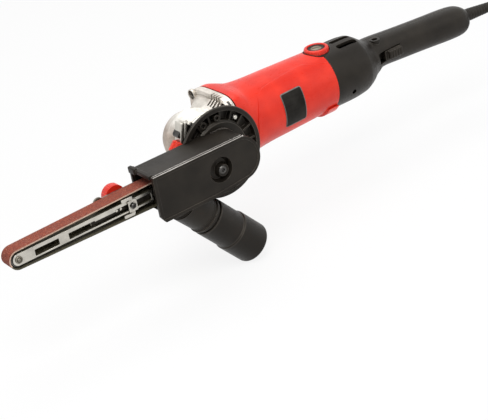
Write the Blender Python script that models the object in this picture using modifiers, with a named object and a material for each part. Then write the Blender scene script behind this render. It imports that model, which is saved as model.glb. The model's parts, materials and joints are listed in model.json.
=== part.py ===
import math

import bmesh
import bpy
from mathutils import Matrix, Vector

# Metres. X runs from the sanding nose to the cord, Y from the guard to the lock button, Z up.
# The zero point of the tool is where the spindle's axis crosses the motor's axis.
GAP = 0.0003
PLAY = 0.0006
WELD = 0.00001
BIG_SIDES = 40
ROUND_SIDES = 24
SMALL_SIDES = 12
NUT_SIDES = 6
FLUTE_SIDES = 8
OVERRUN = 0.002
SHARP_ANGLE = math.radians(40.0)

# How square a lofted section is: 2 is an ellipse, and more is squarer.
ROUND_POWER = 2.0
GRIP_POWER = 2.3
NECK_POWER = 3.0
FLANGE_POWER = 4.5
BLEND_POWERS = (4.0, 2.8, 2.2)

# Motor housing: flange towards the gear case, tapering barrel behind it.
BARREL_FRONT_RADIUS = 0.0300
BARREL_REAR_RADIUS = 0.0277
FLANGE_X = 0.0283
FLANGE_PROUD_Y = 0.0005
FLANGE_PROUD_Z = 0.0028
FLANGE_HALF_Y = BARREL_FRONT_RADIUS + FLANGE_PROUD_Y
FLANGE_HALF_Z = BARREL_FRONT_RADIUS + FLANGE_PROUD_Z
FLANGE_DEPTH = 0.0065
HOUSING_REAR_X = 0.1350
HOUSING_BORE = 0.0248
PAD_RADIUS = 0.0297
PAD_LENGTH = 0.0170
PAD_TOP_Z = -0.0185

# Gear case: a round head about the spindle, a neck, and a flange that meets the housing.
HEAD_RADIUS = 0.0245
HEAD_TOP_RADIUS = 0.0190
HEAD_EDGE = 0.0030
CASE_HIGH_Y = 0.0190
CASE_NECK_Y = 0.0165
CASE_NECK_Z = 0.0185
CASE_NECK_END_Y = 0.0275
CASE_NECK_END_Z = 0.0295
CASE_NECK_INSET = 0.0053
CASE_NECK_MIDDLE = (0.52, 0.40)
CASE_FLANGE_DEPTH = 0.0065
GEAR_ROOM = 0.0225
GEAR_ROOM_TOP_Y = -0.0010
PINION_ROOM = 0.0090
SCREW_SHANK = 0.0019
SCREW_HEAD = 0.0036
SCREW_HEAD_DEPTH = 0.0030
CASE_SCREW_INSET_Y = 0.0070
CASE_SCREW_INSET_Z = 0.0066

# Spindle train.
SPINDLE_RADIUS = 0.0050
NUT_RADIUS = 0.0080
SPINDLE_BEARING_RADIUS = 0.0130
SPINDLE_BEARING_DEPTH = 0.0095
TOP_BEARING_RADIUS = 0.0080
TOP_BEARING_LOW_Y = 0.0090
TOP_BEARING_DEPTH = 0.0070
GEAR_RADIUS = 0.0210
GEAR_TOP_Y = -0.0078
GEAR_DEPTH = 0.0085
GEAR_CLEAR = 0.0017
CASE_LOW_Y = GEAR_TOP_Y - GEAR_DEPTH - GEAR_CLEAR
GEAR_TEETH = 36
PINION_RADIUS = 0.0069
PINION_TIP_X = 0.0085
PINION_LENGTH = 0.0125
PINION_TEETH = 12
COLLAR_RADIUS = 0.0205
COLLAR_LIP = 0.0025
COVER_RADIUS = 0.0260
COVER_DEPTH = 0.0037

# Motor inside.
SHAFT_RADIUS = 0.0040
FRONT_BEARING_RADIUS = 0.0130
FRONT_BEARING_DEPTH = 0.0048
REAR_BEARING_RADIUS = 0.0100
REAR_BEARING_DEPTH = 0.0070
REAR_BEARING_INSET = 0.0190
REAR_BEARING_X = HOUSING_REAR_X - REAR_BEARING_INSET
BRIDGE_LIP = 0.0017
FAN_INSET = 0.0062
FAN_X = FLANGE_X + FAN_INSET
FAN_DEPTH = 0.0085
FAN_RADIUS = 0.0230
FAN_BLADES = 8
COMMUTATOR_RADIUS = 0.0105
COMMUTATOR_LENGTH = 0.0140
COMMUTATOR_CLEAR = 0.0040
COMMUTATOR_HIGH_X = REAR_BEARING_X - COMMUTATOR_CLEAR
COMMUTATOR_LOW_X = COMMUTATOR_HIGH_X - COMMUTATOR_LENGTH
CORE_RADIUS = 0.0140
CORE_FAN_CLEAR = 0.0070
CORE_WIRE_CLEAR = 0.0080
CORE_LOW_X = FAN_X + FAN_DEPTH + CORE_FAN_CLEAR
CORE_HIGH_X = COMMUTATOR_LOW_X - CORE_WIRE_CLEAR
BRUSH_WIDTH = 0.0060
BRUSH_HEIGHT = 0.0080
BRUSH_LENGTH = 0.0110
HOLDER_WALL = 0.0015
LOCK_X = 0.0150
LOCK_RADIUS = 0.0040
LOCK_TOP_Y = 0.0275
LOCK_LENGTH = 0.0175

# Rear cap and handle, in two halves that meet on the middle plane.
CAP_RADIUS = 0.0279
HANDLE_HALF_Y = 0.0146
HANDLE_HALF_Z = 0.0152
HANDLE_WALL = 0.0026
CAP_LENGTH = 0.0250
TAPER_LENGTH = 0.0420
GRIP_LENGTH = 0.1060
CAP_END_X = HOUSING_REAR_X + CAP_LENGTH
NECK_X = CAP_END_X + TAPER_LENGTH
HANDLE_END_X = NECK_X + GRIP_LENGTH
NECK_FLARE = 0.0010
NECK_LIFT = 0.0040
END_LIFT = -0.0040
DROOP = math.radians(4.0)
TAPER_STATIONS = ((0.0, 0.0), (0.30, 0.08), (0.55, 0.32), (0.78, 0.74), (1.0, 1.0))
GRIP_STATIONS = ((0.22, 1.0), (0.55, 1.0), (0.83, 1.0), (0.94, 0.93), (1.0, 0.73))
CAP_SCREW_INSET = 0.0176
CAP_SCREW_X = HOUSING_REAR_X + CAP_SCREW_INSET
CAP_SCREW_DROP = 0.0120
REAR_SCREW_INSET = 0.0180
REAR_SCREW_X = HANDLE_END_X - REAR_SCREW_INSET
REAR_SCREW_DROP = 0.0040
HEAD_SEAT = 0.0055
THREAD_LENGTH = 0.0090
HANDLE_SCREW_HEAD = 0.0030
SWITCH_INSET = 0.0075
SWITCH_X = NECK_X + SWITCH_INSET
SWITCH_LENGTH = 0.0190
SWITCH_HEIGHT = 0.0090
SWITCH_PROUD = 0.0018
SWITCH_DEPTH = 0.0050
SWITCH_TRAVEL = 0.0070
MODULE_LENGTH = 0.0280
MODULE_HALF = 0.0060
DIAL_INSET = 0.0025
DIAL_X = HOUSING_REAR_X + DIAL_INSET
DIAL_RADIUS = 0.0110
DIAL_LOW_Z = 0.0255
DIAL_HIGH_Z = 0.0328
DIAL_HUB = 0.0062
BOARD_INSET = 0.0050
BOARD_LOW_X = HOUSING_REAR_X - BOARD_INSET
BOARD_LENGTH = 0.0320
STEM_RADIUS = 0.0020
BOARD_HALF_Y = 0.0140
BOARD_LOW_Z = 0.0060
BOARD_HEIGHT = 0.0080
VENT_INSET = 0.0275
VENT_X = HOUSING_REAR_X + VENT_INSET
VENT_LENGTH = 0.0130
VENT_WIDTH = 0.0026
VENT_STEP = 0.0070

# Guard, its back disc and the clamp that holds it on the collar.
RING_THICK = 0.0037
RING_DEPTH = 0.0095
RING_CLEAR = 0.0013
DISC_RADIUS = 0.0387
DISC_DEPTH = 0.0045
DISC_CLEAR = 0.0020
DISC_HIGH_Y = min(CASE_LOW_Y - COVER_DEPTH - RING_DEPTH - RING_CLEAR, -FLANGE_HALF_Y - DISC_CLEAR)
DISC_LOW_Y = DISC_HIGH_Y - DISC_DEPTH
DISC_RIM = 0.0030
COLLAR_PROUD = 0.0025
COLLAR_LOW_Y = DISC_LOW_Y - COLLAR_PROUD
GUARD_RADIUS = 0.0195
GUARD_MOUTH_X = -0.0820
GUARD_DEPTH = 0.0321
GUARD_FRONT_Y = DISC_LOW_Y - GUARD_DEPTH
GUARD_WALL = 0.0025
COVER_PLATE = 0.0028
COVER_SCREW_X = -0.0197
COVER_SCREW_RADIUS = 0.0075
EAR_REACH = 0.0385
EAR_HALF = 0.0065
EAR_SLOT = 0.0016
CLAMP_TURN = math.radians(45.0)
CLAMP_BOLT_X = -0.0325
CLAMP_BOLT_RADIUS = 0.0022
CLAMP_KNOB_RADIUS = 0.0046
CLAMP_KNOB_LENGTH = 0.0110
CLAMP_KNOB_GRIP = 0.0088

# Sanding belt and the two rollers it runs on.
BELT_WIDTH = 0.013
BELT_THICK = 0.0011
BELT_INSET = 0.0124
BELT_Y = DISC_LOW_Y - BELT_INSET
BELT_ARC_STEPS = 16
WHEEL_RADIUS = 0.0109
NOSE_RADIUS = 0.0066
NOSE_X = -0.1985

# Dust neck and pipe, slanting down and back from the guard.
PIPE_SLANT = math.radians(49.1)
PIPE_START_X = -0.0315
PIPE_START_Z = -0.0425
PIPE_LENGTH = 0.0560
PIPE_RADIUS = 0.0157
PIPE_END_RADIUS = 0.0167
PIPE_WALL = 0.0018
PIPE_OVERLAP = 0.0090
NECK_WALL = 0.0020
NECK_LENGTH = 0.0360

# Arm: a bar fixed in the guard and a channel that slides on it against a spring.
ARM_HALF_Y = 0.0063
ARM_HALF_Z = 0.0048
ARM_WALL = 0.0014
ARM_TRAVEL = 0.0080
ARM_CLEAR = 0.0025
ARM_REAR_X = GUARD_MOUTH_X - ARM_TRAVEL - ARM_CLEAR
BAR_HALF_Y = 0.0030
BAR_HALF_Z = 0.0028
BAR_INSET = 0.0645
BAR_FRONT_X = NOSE_X + BAR_INSET
BAR_CLEAR = 0.0036
BAR_REAR_X = -WHEEL_RADIUS - BAR_CLEAR
STOP_INSET = 0.0365
STOP_X = NOSE_X + STOP_INSET
STOP_THICK = 0.0024
FRONT_WINDOW_INSET = 0.0133
FRONT_WINDOW_X = NOSE_X + FRONT_WINDOW_INSET
FRONT_WINDOW_LENGTH = 0.0204
MIDDLE_WINDOW_INSET = 0.0437
MIDDLE_WINDOW_X = NOSE_X + MIDDLE_WINDOW_INSET
MIDDLE_WINDOW_LENGTH = 0.0218
SLOT_WINDOW_INSET = 0.0685
SLOT_WINDOW_X = NOSE_X + SLOT_WINDOW_INSET
SLOT_WINDOW_LENGTH = 0.0170
WINDOW_HALF = 0.0027
SLOT_HALF = 0.0014
PIN_RADIUS = 0.0016
PIN_HEAD = 0.0030
PIN_HEAD_DEPTH = 0.0008
GUIDE_INSET = 0.0053
GUIDE_X = ARM_REAR_X - GUIDE_INSET
GUIDE_SCREW = 0.0016
GUIDE_HEAD = 0.0028
GUIDE_HALF_X = 0.0039
GUIDE_HALF_Z = 0.0072
GUIDE_THICK = 0.0014
GUIDE_TAB = 0.0055
GUIDE_TAB_HEIGHT = 0.0016
FOOT_LENGTH = 0.0250
FOOT_INSET = 0.0220
FOOT_LOW_X = GUARD_MOUTH_X + FOOT_INSET
FOOT_HALF_Z = 0.0055
SPRING_RADIUS = 0.0021
SPRING_WIRE = 0.0004
SPRING_TURNS = 9
SPRING_STEPS = 10
TRACK_INSET = 0.0074
TRACK_LOW_Y = BELT_Y + TRACK_INSET
TRACK_THICK = 0.0015
TRACK_LENGTH = 0.0350
TRACK_CLEAR = 0.0020
TRACK_HIGH_X = GUARD_MOUTH_X - TRACK_CLEAR
TRACK_LOW_X = TRACK_HIGH_X - TRACK_LENGTH
TRACK_HALF_Z = 0.0100
KNOB_INSET = 0.0170
KNOB_X = TRACK_LOW_X + KNOB_INSET
KNOB_Z = 0.0048
KNOB_RADIUS = 0.0090
KNOB_DEPTH = 0.0080
KNOB_FLUTES = 10

# Supply lead.
CORD_RADIUS = 0.0035
BOOT_NECK = 0.0050
BOOT_RADIUS = 0.0058
BOOT_TIP = 0.0044
BOOT_FLANGE = 0.0078
BOOT_FLANGE_DEPTH = 0.0030
BOOT_LENGTH = 0.0440
LEAD_RUN = 0.1240
LEAD_SIDE = -0.0550
LEAD_POINTS = 16
LEAD_ROUTE = ((0, 0), (0.175, 0.031), (0.329, 0.142), (0.442, 0.305), (0.5, 0.5), (0.558, 0.695),
              (0.671, 0.858), (0.825, 0.966), (1, 1))
COIL_TURNS = 7.25
COIL_STEPS = 24
COIL_SAMPLES = 4
COIL_INNER = 0.0262
COIL_PITCH = 0.0077
COIL_LAYER = 0.0077
COIL_TAIL = 0.0210
TIE_THICK = 0.0012
TIE_WIDTH = 0.0050
PLUG_LENGTH = 0.0460
PLUG_NECK = 0.0048
PLUG_STATIONS = ((0.0, 0.0), (0.30, 0.18), (0.55, 1.0), (1.0, 1.0))
PLUG_PIN_RADIUS = 0.0024
PLUG_PIN_LENGTH = 0.0190
PLUG_PIN_SEAT = 0.0060
PLUG_PIN_OFFSET = 0.0095

for old in list(bpy.data.objects):
    bpy.data.objects.remove(old, do_unlink=True)

parts = bpy.data.collections.new("belt_sander")
cutters = bpy.data.collections.new("cutters")
bpy.context.scene.collection.children.link(parts)
bpy.context.scene.collection.children.link(cutters)
root = bpy.data.objects.new("tool_root", None)
parts.objects.link(root)

TURNS = {"X": (0, math.pi / 2, 0), "Y": (-math.pi / 2, 0, 0), "Z": (0, 0, 0)}
SIDES = (("left", -1), ("right", 1))


def finish(name, colour, roughness, metallic):
    material = bpy.data.materials.new(name)
    material.use_nodes = True
    shader = material.node_tree.nodes["Principled BSDF"]
    shader.inputs["Base Color"].default_value = (*colour, 1)
    shader.inputs["Roughness"].default_value = roughness
    shader.inputs["Metallic"].default_value = metallic
    return material


RED = finish("red_plastic", (0.75, 0.027, 0.017), 0.35, 0.0)
BLACK = finish("black_plastic", (0.027, 0.024, 0.021), 0.55, 0.0)
SILVER = finish("cast_aluminium", (0.58, 0.56, 0.53), 0.38, 1.0)
STEEL = finish("bright_steel", (0.56, 0.55, 0.53), 0.30, 1.0)
DARK_STEEL = finish("dark_steel", (0.16, 0.16, 0.16), 0.40, 1.0)
COPPER = finish("copper", (0.72, 0.33, 0.18), 0.35, 1.0)
BRASS = finish("brass", (0.66, 0.47, 0.19), 0.35, 1.0)
CARBON = finish("carbon", (0.02, 0.02, 0.02), 0.70, 0.0)
GRIT = finish("abrasive_cloth", (0.33, 0.085, 0.055), 0.90, 0.0)
RUBBER = finish("drive_rubber", (0.035, 0.033, 0.031), 0.75, 0.0)
CABLE = finish("cable_rubber", (0.022, 0.021, 0.020), 0.55, 0.0)


def place(name, data, look, parent=root, location=(0, 0, 0), rotation=(0, 0, 0)):
    item = bpy.data.objects.new(name, data)
    item.parent = parent
    item.location = location
    item.rotation_euler = rotation
    if look:
        data.materials.append(look)
        parts.objects.link(item)
    else:
        item.hide_render = True
        item.display_type = "WIRE"
        cutters.objects.link(item)
    return item


def mesh_of(name, form, smooth=False):
    bmesh.ops.recalc_face_normals(form, faces=form.faces)
    mesh = bpy.data.meshes.new(name)
    form.to_mesh(mesh)
    form.free()
    if smooth:
        mesh.shade_smooth()
        mesh.set_sharp_from_angle(angle=SHARP_ANGLE)
    return mesh


def block(name, low, high, look=None, **where):
    form = bmesh.new()
    bmesh.ops.create_cube(form, size=1.0)
    bmesh.ops.scale(form, vec=Vector(high) - Vector(low), verts=form.verts)
    bmesh.ops.translate(form, vec=(Vector(high) + Vector(low)) / 2, verts=form.verts)
    return place(name, mesh_of(name, form), look, **where)


def rod(name, radius, start, end, look=None, sides=SMALL_SIDES, **where):
    run = Vector(end) - Vector(start)
    form = bmesh.new()
    bmesh.ops.create_cone(form, cap_ends=True, segments=sides, radius1=radius, radius2=radius,
                          depth=run.length)
    turn = run.to_track_quat("Z", "Y").to_matrix().to_4x4()
    middle = Matrix.Translation((Vector(start) + Vector(end)) / 2)
    bmesh.ops.transform(form, matrix=middle @ turn, verts=form.verts)
    return place(name, mesh_of(name, form, smooth=True), look, **where)


def turned(name, profile, axis, look=None, sides=ROUND_SIDES, ring=True, **where):
    form = bmesh.new()
    spots = [form.verts.new((radius, 0, height)) for radius, height in profile]
    for first, second in zip(spots, spots[1:]):
        form.edges.new((first, second))
    if ring:
        form.edges.new((spots[-1], spots[0]))
    mesh = bpy.data.meshes.new(name)
    form.to_mesh(mesh)
    form.free()
    where.setdefault("rotation", TURNS[axis])
    item = place(name, mesh, look, **where)
    screw = item.modifiers.new("turn", "SCREW")
    screw.axis = "Z"
    screw.steps = sides
    screw.render_steps = sides
    screw.use_merge_vertices = True
    screw.merge_threshold = WELD
    screw.use_smooth_shade = True
    return item


def bush(name, inner, outer, low, high, axis, look=None, **where):
    profile = ((outer, high), (outer, low), (inner, low), (inner, high))
    return turned(name, profile, axis, look, **where)


def loft(name, sections, look=None, sides=BIG_SIDES, **where):
    form = bmesh.new()
    rings = []
    for x, lift, half_y, half_z, power in sections:
        ring = []
        for step in range(sides):
            angle = 2 * math.pi * step / sides
            across = math.copysign(abs(math.cos(angle)) ** (2 / power), math.cos(angle))
            upward = math.copysign(abs(math.sin(angle)) ** (2 / power), math.sin(angle))
            ring.append(form.verts.new((x, half_y * across, lift + half_z * upward)))
        rings.append(ring)
    for first, second in zip(rings, rings[1:]):
        for step in range(sides):
            after = (step + 1) % sides
            form.faces.new((first[step], first[after], second[after], second[step]))
    form.faces.new(rings[0])
    form.faces.new(rings[-1])
    return place(name, mesh_of(name, form, smooth=True), look, **where)


def arc(centre_x, centre_z, radius, start, end, steps):
    angles = [start + (end - start) * step / steps for step in range(steps + 1)]
    return [(centre_x + radius * math.cos(angle), centre_z + radius * math.sin(angle)) for angle in angles]


def mesh_from_curve(name, curve):
    drawn = bpy.data.objects.new(name, curve)
    cutters.objects.link(drawn)
    graph = bpy.context.evaluated_depsgraph_get()
    form = bmesh.new()
    form.from_mesh(bpy.data.meshes.new_from_object(drawn.evaluated_get(graph)))
    bmesh.ops.remove_doubles(form, verts=form.verts, dist=WELD)
    bpy.data.objects.remove(drawn, do_unlink=True)
    return form


def sheet(name, outlines, low_y, high_y, look=None, **where):
    curve = bpy.data.curves.new(name, "CURVE")
    curve.dimensions = "2D"
    curve.fill_mode = "BOTH"
    curve.extrude = (high_y - low_y) / 2
    for outline in outlines:
        spline = curve.splines.new("POLY")
        spline.points.add(len(outline) - 1)
        for point, (x, z) in zip(spline.points, outline):
            point.co = (x, z, 0, 1)
        spline.use_cyclic_u = True
    form = mesh_from_curve(name, curve)
    stand = Matrix.Translation((0, (low_y + high_y) / 2, 0)) @ Matrix.Rotation(math.pi / 2, 4, "X")
    bmesh.ops.transform(form, matrix=stand, verts=form.verts)
    return place(name, mesh_of(name, form, smooth=True), look, **where)


def tube(name, points, radius, resolution, look, **where):
    curve = bpy.data.curves.new(name, "CURVE")
    curve.dimensions = "3D"
    curve.bevel_depth = radius
    curve.bevel_resolution = resolution
    curve.use_fill_caps = True
    spline = curve.splines.new("POLY")
    spline.points.add(len(points) - 1)
    for spot, point in zip(spline.points, points):
        spot.co = (*point, 1)
    return place(name, curve, look, **where)


def combine(item, operation, tools):
    for tool in tools:
        modifier = item.modifiers.new(operation.lower(), "BOOLEAN")
        modifier.operation = operation
        modifier.solver = "EXACT"
        modifier.object = tool
    return item


def cut(item, *tools):
    return combine(item, "DIFFERENCE", tools)


def join(item, *tools):
    return combine(item, "UNION", tools)


def soften(item, width, segments):
    bevel = item.modifiers.new("bevel", "BEVEL")
    bevel.width = width
    bevel.segments = segments
    bevel.limit_method = "ANGLE"
    return item


def handle_lift(x):
    return NECK_LIFT + (END_LIFT - NECK_LIFT) * (x - NECK_X) / GRIP_LENGTH


def handle_sections(inset):
    front_x = HOUSING_REAR_X + GAP - inset * 2
    front_radius = BARREL_REAR_RADIUS - inset
    rows = [(front_x, 0, front_radius, front_radius, ROUND_POWER)]
    for share, blend in TAPER_STATIONS:
        half_y = CAP_RADIUS + (HANDLE_HALF_Y + NECK_FLARE - CAP_RADIUS) * blend - inset
        half_z = CAP_RADIUS + (HANDLE_HALF_Z + NECK_FLARE - CAP_RADIUS) * blend - inset
        power = ROUND_POWER + (GRIP_POWER - ROUND_POWER) * blend
        rows.append((CAP_END_X + TAPER_LENGTH * share, NECK_LIFT * blend, half_y, half_z, power))
    for share, size in GRIP_STATIONS:
        x = NECK_X + GRIP_LENGTH * share
        half_y = HANDLE_HALF_Y * size - inset
        half_z = HANDLE_HALF_Z * size - inset
        rows.append((x - inset * share, handle_lift(x), half_y, half_z, GRIP_POWER))
    return rows


# Motor housing, with the dial pocket that its rear edge shares with the rear cap.
blend_x = FLANGE_X + FLANGE_DEPTH
first_power, second_power, third_power = BLEND_POWERS
housing = loft("motor_housing", (
    (FLANGE_X, 0, FLANGE_HALF_Y, FLANGE_HALF_Z, FLANGE_POWER),
    (blend_x, 0, FLANGE_HALF_Y, FLANGE_HALF_Z, first_power),
    (blend_x + FLANGE_DEPTH, 0, FLANGE_HALF_Y, (FLANGE_HALF_Z + BARREL_FRONT_RADIUS) / 2, second_power),
    (blend_x + FLANGE_DEPTH * 2, 0, BARREL_FRONT_RADIUS + PLAY, BARREL_FRONT_RADIUS + PLAY, third_power),
    (blend_x + FLANGE_DEPTH * 4, 0, BARREL_FRONT_RADIUS, BARREL_FRONT_RADIUS, ROUND_POWER),
    (HOUSING_REAR_X, 0, BARREL_REAR_RADIUS, BARREL_REAR_RADIUS, ROUND_POWER),
), RED)
housing_bore = rod("housing_bore", HOUSING_BORE, (FLANGE_X - OVERRUN, 0, 0),
                   (HOUSING_REAR_X + OVERRUN, 0, 0),
                   sides=BIG_SIDES)
dial_pocket = rod("dial_pocket", DIAL_RADIUS + PLAY, (DIAL_X, 0, DIAL_LOW_Z - PLAY),
                  (DIAL_X, 0, DIAL_HIGH_Z + OVERRUN), sides=BIG_SIDES)
pad = rod("pad", PAD_RADIUS, (HOUSING_REAR_X - PAD_LENGTH, 0, 0), (HOUSING_REAR_X - PLAY, 0, 0),
          sides=BIG_SIDES)
cut(pad, block("pad_top", (0, -PAD_RADIUS * 2, PAD_TOP_Z),
               (HOUSING_REAR_X, PAD_RADIUS * 2, PAD_RADIUS * 2)))
join(housing, pad)
cut(housing, housing_bore, dial_pocket)

# Gear case: round head, neck and rear flange, then the rooms for gears, bearings and screws.
case_rear_x = FLANGE_X - GAP
gear_case = turned("gear_case", (
    (0, CASE_HIGH_Y), (HEAD_TOP_RADIUS - HEAD_EDGE, CASE_HIGH_Y),
    (HEAD_TOP_RADIUS, CASE_HIGH_Y - HEAD_EDGE),
    (HEAD_RADIUS, 0), (HEAD_RADIUS, CASE_LOW_Y), (0, CASE_LOW_Y),
), "Y", SILVER, BIG_SIDES, ring=False)
neck_sections = []
for share, widen in ((0, 0), CASE_NECK_MIDDLE, (1, 1)):
    half_y = CASE_NECK_Y + (CASE_NECK_END_Y - CASE_NECK_Y) * widen
    half_z = CASE_NECK_Z + (CASE_NECK_END_Z - CASE_NECK_Z) * widen
    neck_sections.append(((FLANGE_X - CASE_NECK_INSET) * share, 0, half_y, half_z, NECK_POWER))
case_neck = loft("case_neck", neck_sections)
case_flange = loft("case_flange", (
    (case_rear_x - CASE_FLANGE_DEPTH, 0, FLANGE_HALF_Y, FLANGE_HALF_Z, FLANGE_POWER),
    (case_rear_x, 0, FLANGE_HALF_Y, FLANGE_HALF_Z, FLANGE_POWER),
))
gear_room = rod("gear_room", GEAR_ROOM, (0, CASE_LOW_Y - OVERRUN, 0), (0, GEAR_ROOM_TOP_Y, 0),
                sides=BIG_SIDES)
pinion_room = rod("pinion_room", PINION_ROOM, (0, 0, 0), (case_rear_x + OVERRUN, 0, 0), sides=ROUND_SIDES)
bearing_front_x = case_rear_x - FRONT_BEARING_DEPTH
bearing_seat = rod("bearing_seat", FRONT_BEARING_RADIUS + GAP, (bearing_front_x - GAP, 0, 0),
                   (case_rear_x + OVERRUN, 0, 0), sides=ROUND_SIDES)
top_bearing_high_y = TOP_BEARING_LOW_Y + TOP_BEARING_DEPTH
top_seat = rod("top_seat", TOP_BEARING_RADIUS + GAP, (0, GEAR_ROOM_TOP_Y - OVERRUN, 0),
               (0, top_bearing_high_y + GAP, 0), sides=ROUND_SIDES)
cover_room = rod("cover_room", COVER_RADIUS + GAP, (0, CASE_LOW_Y - GAP / 2, 0),
                 (0, -FLANGE_HALF_Y - OVERRUN, 0), sides=BIG_SIDES)
lock_bore = rod("lock_bore", LOCK_RADIUS + GAP, (LOCK_X, 0, 0), (LOCK_X, LOCK_TOP_Y, 0))
join(gear_case, case_neck, case_flange)
cut(gear_case, gear_room, pinion_room, bearing_seat, top_seat, cover_room, lock_bore)
for tag, side_y, side_z in (("1", -1, 1), ("2", 1, 1), ("3", -1, -1), ("4", 1, -1)):
    spot_y = side_y * (FLANGE_HALF_Y - CASE_SCREW_INSET_Y)
    spot_z = side_z * (FLANGE_HALF_Z - CASE_SCREW_INSET_Z)
    screw_front_x = case_rear_x - CASE_FLANGE_DEPTH - GAP
    screw_end_x = FLANGE_X + FLANGE_DEPTH
    screw_hole = rod("screw_hole_" + tag, SCREW_SHANK + GAP, (screw_front_x - OVERRUN, spot_y, spot_z),
                     (screw_end_x + GAP, spot_y, spot_z))
    head_room = rod("head_room_" + tag, SCREW_HEAD + GAP,
                    (screw_front_x - SCREW_HEAD_DEPTH * 2, spot_y, spot_z),
                    (screw_front_x + GAP, spot_y, spot_z))
    cut(gear_case, head_room, screw_hole)
    cut(housing, screw_hole)
    turned("gear_case_screw_" + tag, (
        (0, screw_end_x), (SCREW_SHANK, screw_end_x), (SCREW_SHANK, screw_front_x),
        (SCREW_HEAD, screw_front_x),
        (SCREW_HEAD, screw_front_x - SCREW_HEAD_DEPTH), (0, screw_front_x - SCREW_HEAD_DEPTH),
    ), "X", DARK_STEEL, SMALL_SIDES, ring=False, location=(0, spot_y, spot_z))

# Bearing cover with the collar that the guard clamps on.
cover_top_y = CASE_LOW_Y - GAP
seat_floor_y = COLLAR_LOW_Y + COLLAR_LIP
turned("bearing_cover", (
    (COVER_RADIUS, cover_top_y), (COVER_RADIUS, cover_top_y - COVER_DEPTH),
    (COLLAR_RADIUS, cover_top_y - COVER_DEPTH), (COLLAR_RADIUS, COLLAR_LOW_Y),
    (SPINDLE_RADIUS + OVERRUN, COLLAR_LOW_Y), (SPINDLE_RADIUS + OVERRUN, seat_floor_y),
    (SPINDLE_BEARING_RADIUS + GAP, seat_floor_y), (SPINDLE_BEARING_RADIUS + GAP, cover_top_y),
), "Y", SILVER, BIG_SIDES)
spindle_bearing_top_y = seat_floor_y + GAP + SPINDLE_BEARING_DEPTH
bush("spindle_bearing", SPINDLE_RADIUS + GAP, SPINDLE_BEARING_RADIUS, seat_floor_y + GAP,
     spindle_bearing_top_y, "Y", STEEL)
bush("spindle_top_bearing", SPINDLE_RADIUS + GAP, TOP_BEARING_RADIUS, TOP_BEARING_LOW_Y, top_bearing_high_y,
     "Y", STEEL)

# Spindle, its bevel gear, the drive wheel and the nut that holds the wheel.
wheel_low_y = BELT_Y - BELT_WIDTH / 2 - PLAY
wheel_high_y = BELT_Y + BELT_WIDTH / 2 + PLAY
nut_low_y = wheel_low_y - GAP - SPINDLE_RADIUS
gear_low_y = GEAR_TOP_Y - GEAR_DEPTH
turned("spindle", (
    (0, top_bearing_high_y), (SPINDLE_RADIUS, top_bearing_high_y),
    (SPINDLE_RADIUS, nut_low_y - OVERRUN / 2),
    (0, nut_low_y - OVERRUN / 2),
), "Y", STEEL, ring=False)
gear_inner = SPINDLE_RADIUS + GAP
turned("bevel_gear", (
    (GEAR_RADIUS / 2, GEAR_TOP_Y), (GEAR_RADIUS, GEAR_TOP_Y - GEAR_DEPTH / 3), (GEAR_RADIUS, gear_low_y),
    (gear_inner, gear_low_y), (gear_inner, GEAR_TOP_Y - GEAR_DEPTH / 3),
    (GEAR_RADIUS / 2 - OVERRUN, GEAR_TOP_Y - GEAR_DEPTH / 3),
), "Y", DARK_STEEL, GEAR_TEETH)
bush("drive_wheel", SPINDLE_RADIUS + GAP, WHEEL_RADIUS, wheel_low_y, wheel_high_y, "Y", RUBBER,
     sides=BIG_SIDES)
nut = rod("wheel_nut", NUT_RADIUS, (0, nut_low_y, 0), (0, wheel_low_y - GAP, 0), STEEL, sides=NUT_SIDES)
nut_bore = rod("nut_bore", SPINDLE_RADIUS + GAP, (0, nut_low_y - OVERRUN, 0), (0, wheel_low_y, 0),
               sides=ROUND_SIDES)
cut(nut, nut_bore)

# Armature: shaft, pinion, fan, core and commutator, which turn together.
shaft_end_x = REAR_BEARING_X + REAR_BEARING_DEPTH + OVERRUN
turned("armature_shaft", (
    (0, shaft_end_x), (SHAFT_RADIUS, shaft_end_x), (SHAFT_RADIUS, PINION_TIP_X), (0, PINION_TIP_X),
), "X", STEEL, ring=False)
pinion_rear_x = PINION_TIP_X + PINION_LENGTH
shaft_bore = SHAFT_RADIUS + GAP
turned("pinion", (
    (PINION_RADIUS, pinion_rear_x), (PINION_RADIUS - PLAY * 2, PINION_TIP_X + PLAY),
    (shaft_bore, PINION_TIP_X + PLAY), (shaft_bore, pinion_rear_x),
), "X", DARK_STEEL, PINION_TEETH * 2)
bush("front_bearing", shaft_bore, FRONT_BEARING_RADIUS, bearing_front_x, case_rear_x - GAP, "X", STEEL)
fan_hub = FAN_RADIUS / 2
fan = turned("cooling_fan", (
    (fan_hub, FAN_X + FAN_DEPTH), (FAN_RADIUS, FAN_X + OVERRUN), (FAN_RADIUS, FAN_X), (shaft_bore, FAN_X),
    (shaft_bore, FAN_X + FAN_DEPTH),
), "X", BLACK, BIG_SIDES)
for blade in range(FAN_BLADES):
    angle = 2 * math.pi * blade / FAN_BLADES
    cut(fan, block("fan_gap_" + str(blade), (FAN_X + OVERRUN, -OVERRUN, fan_hub + OVERRUN),
                   (FAN_X + FAN_DEPTH, OVERRUN, FAN_RADIUS + OVERRUN), rotation=(angle, 0, 0)))
bush("armature_core", shaft_bore, CORE_RADIUS, CORE_LOW_X, CORE_HIGH_X, "X", DARK_STEEL)
bush("commutator", shaft_bore, COMMUTATOR_RADIUS, COMMUTATOR_LOW_X, COMMUTATOR_HIGH_X, "X", COPPER)

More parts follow.
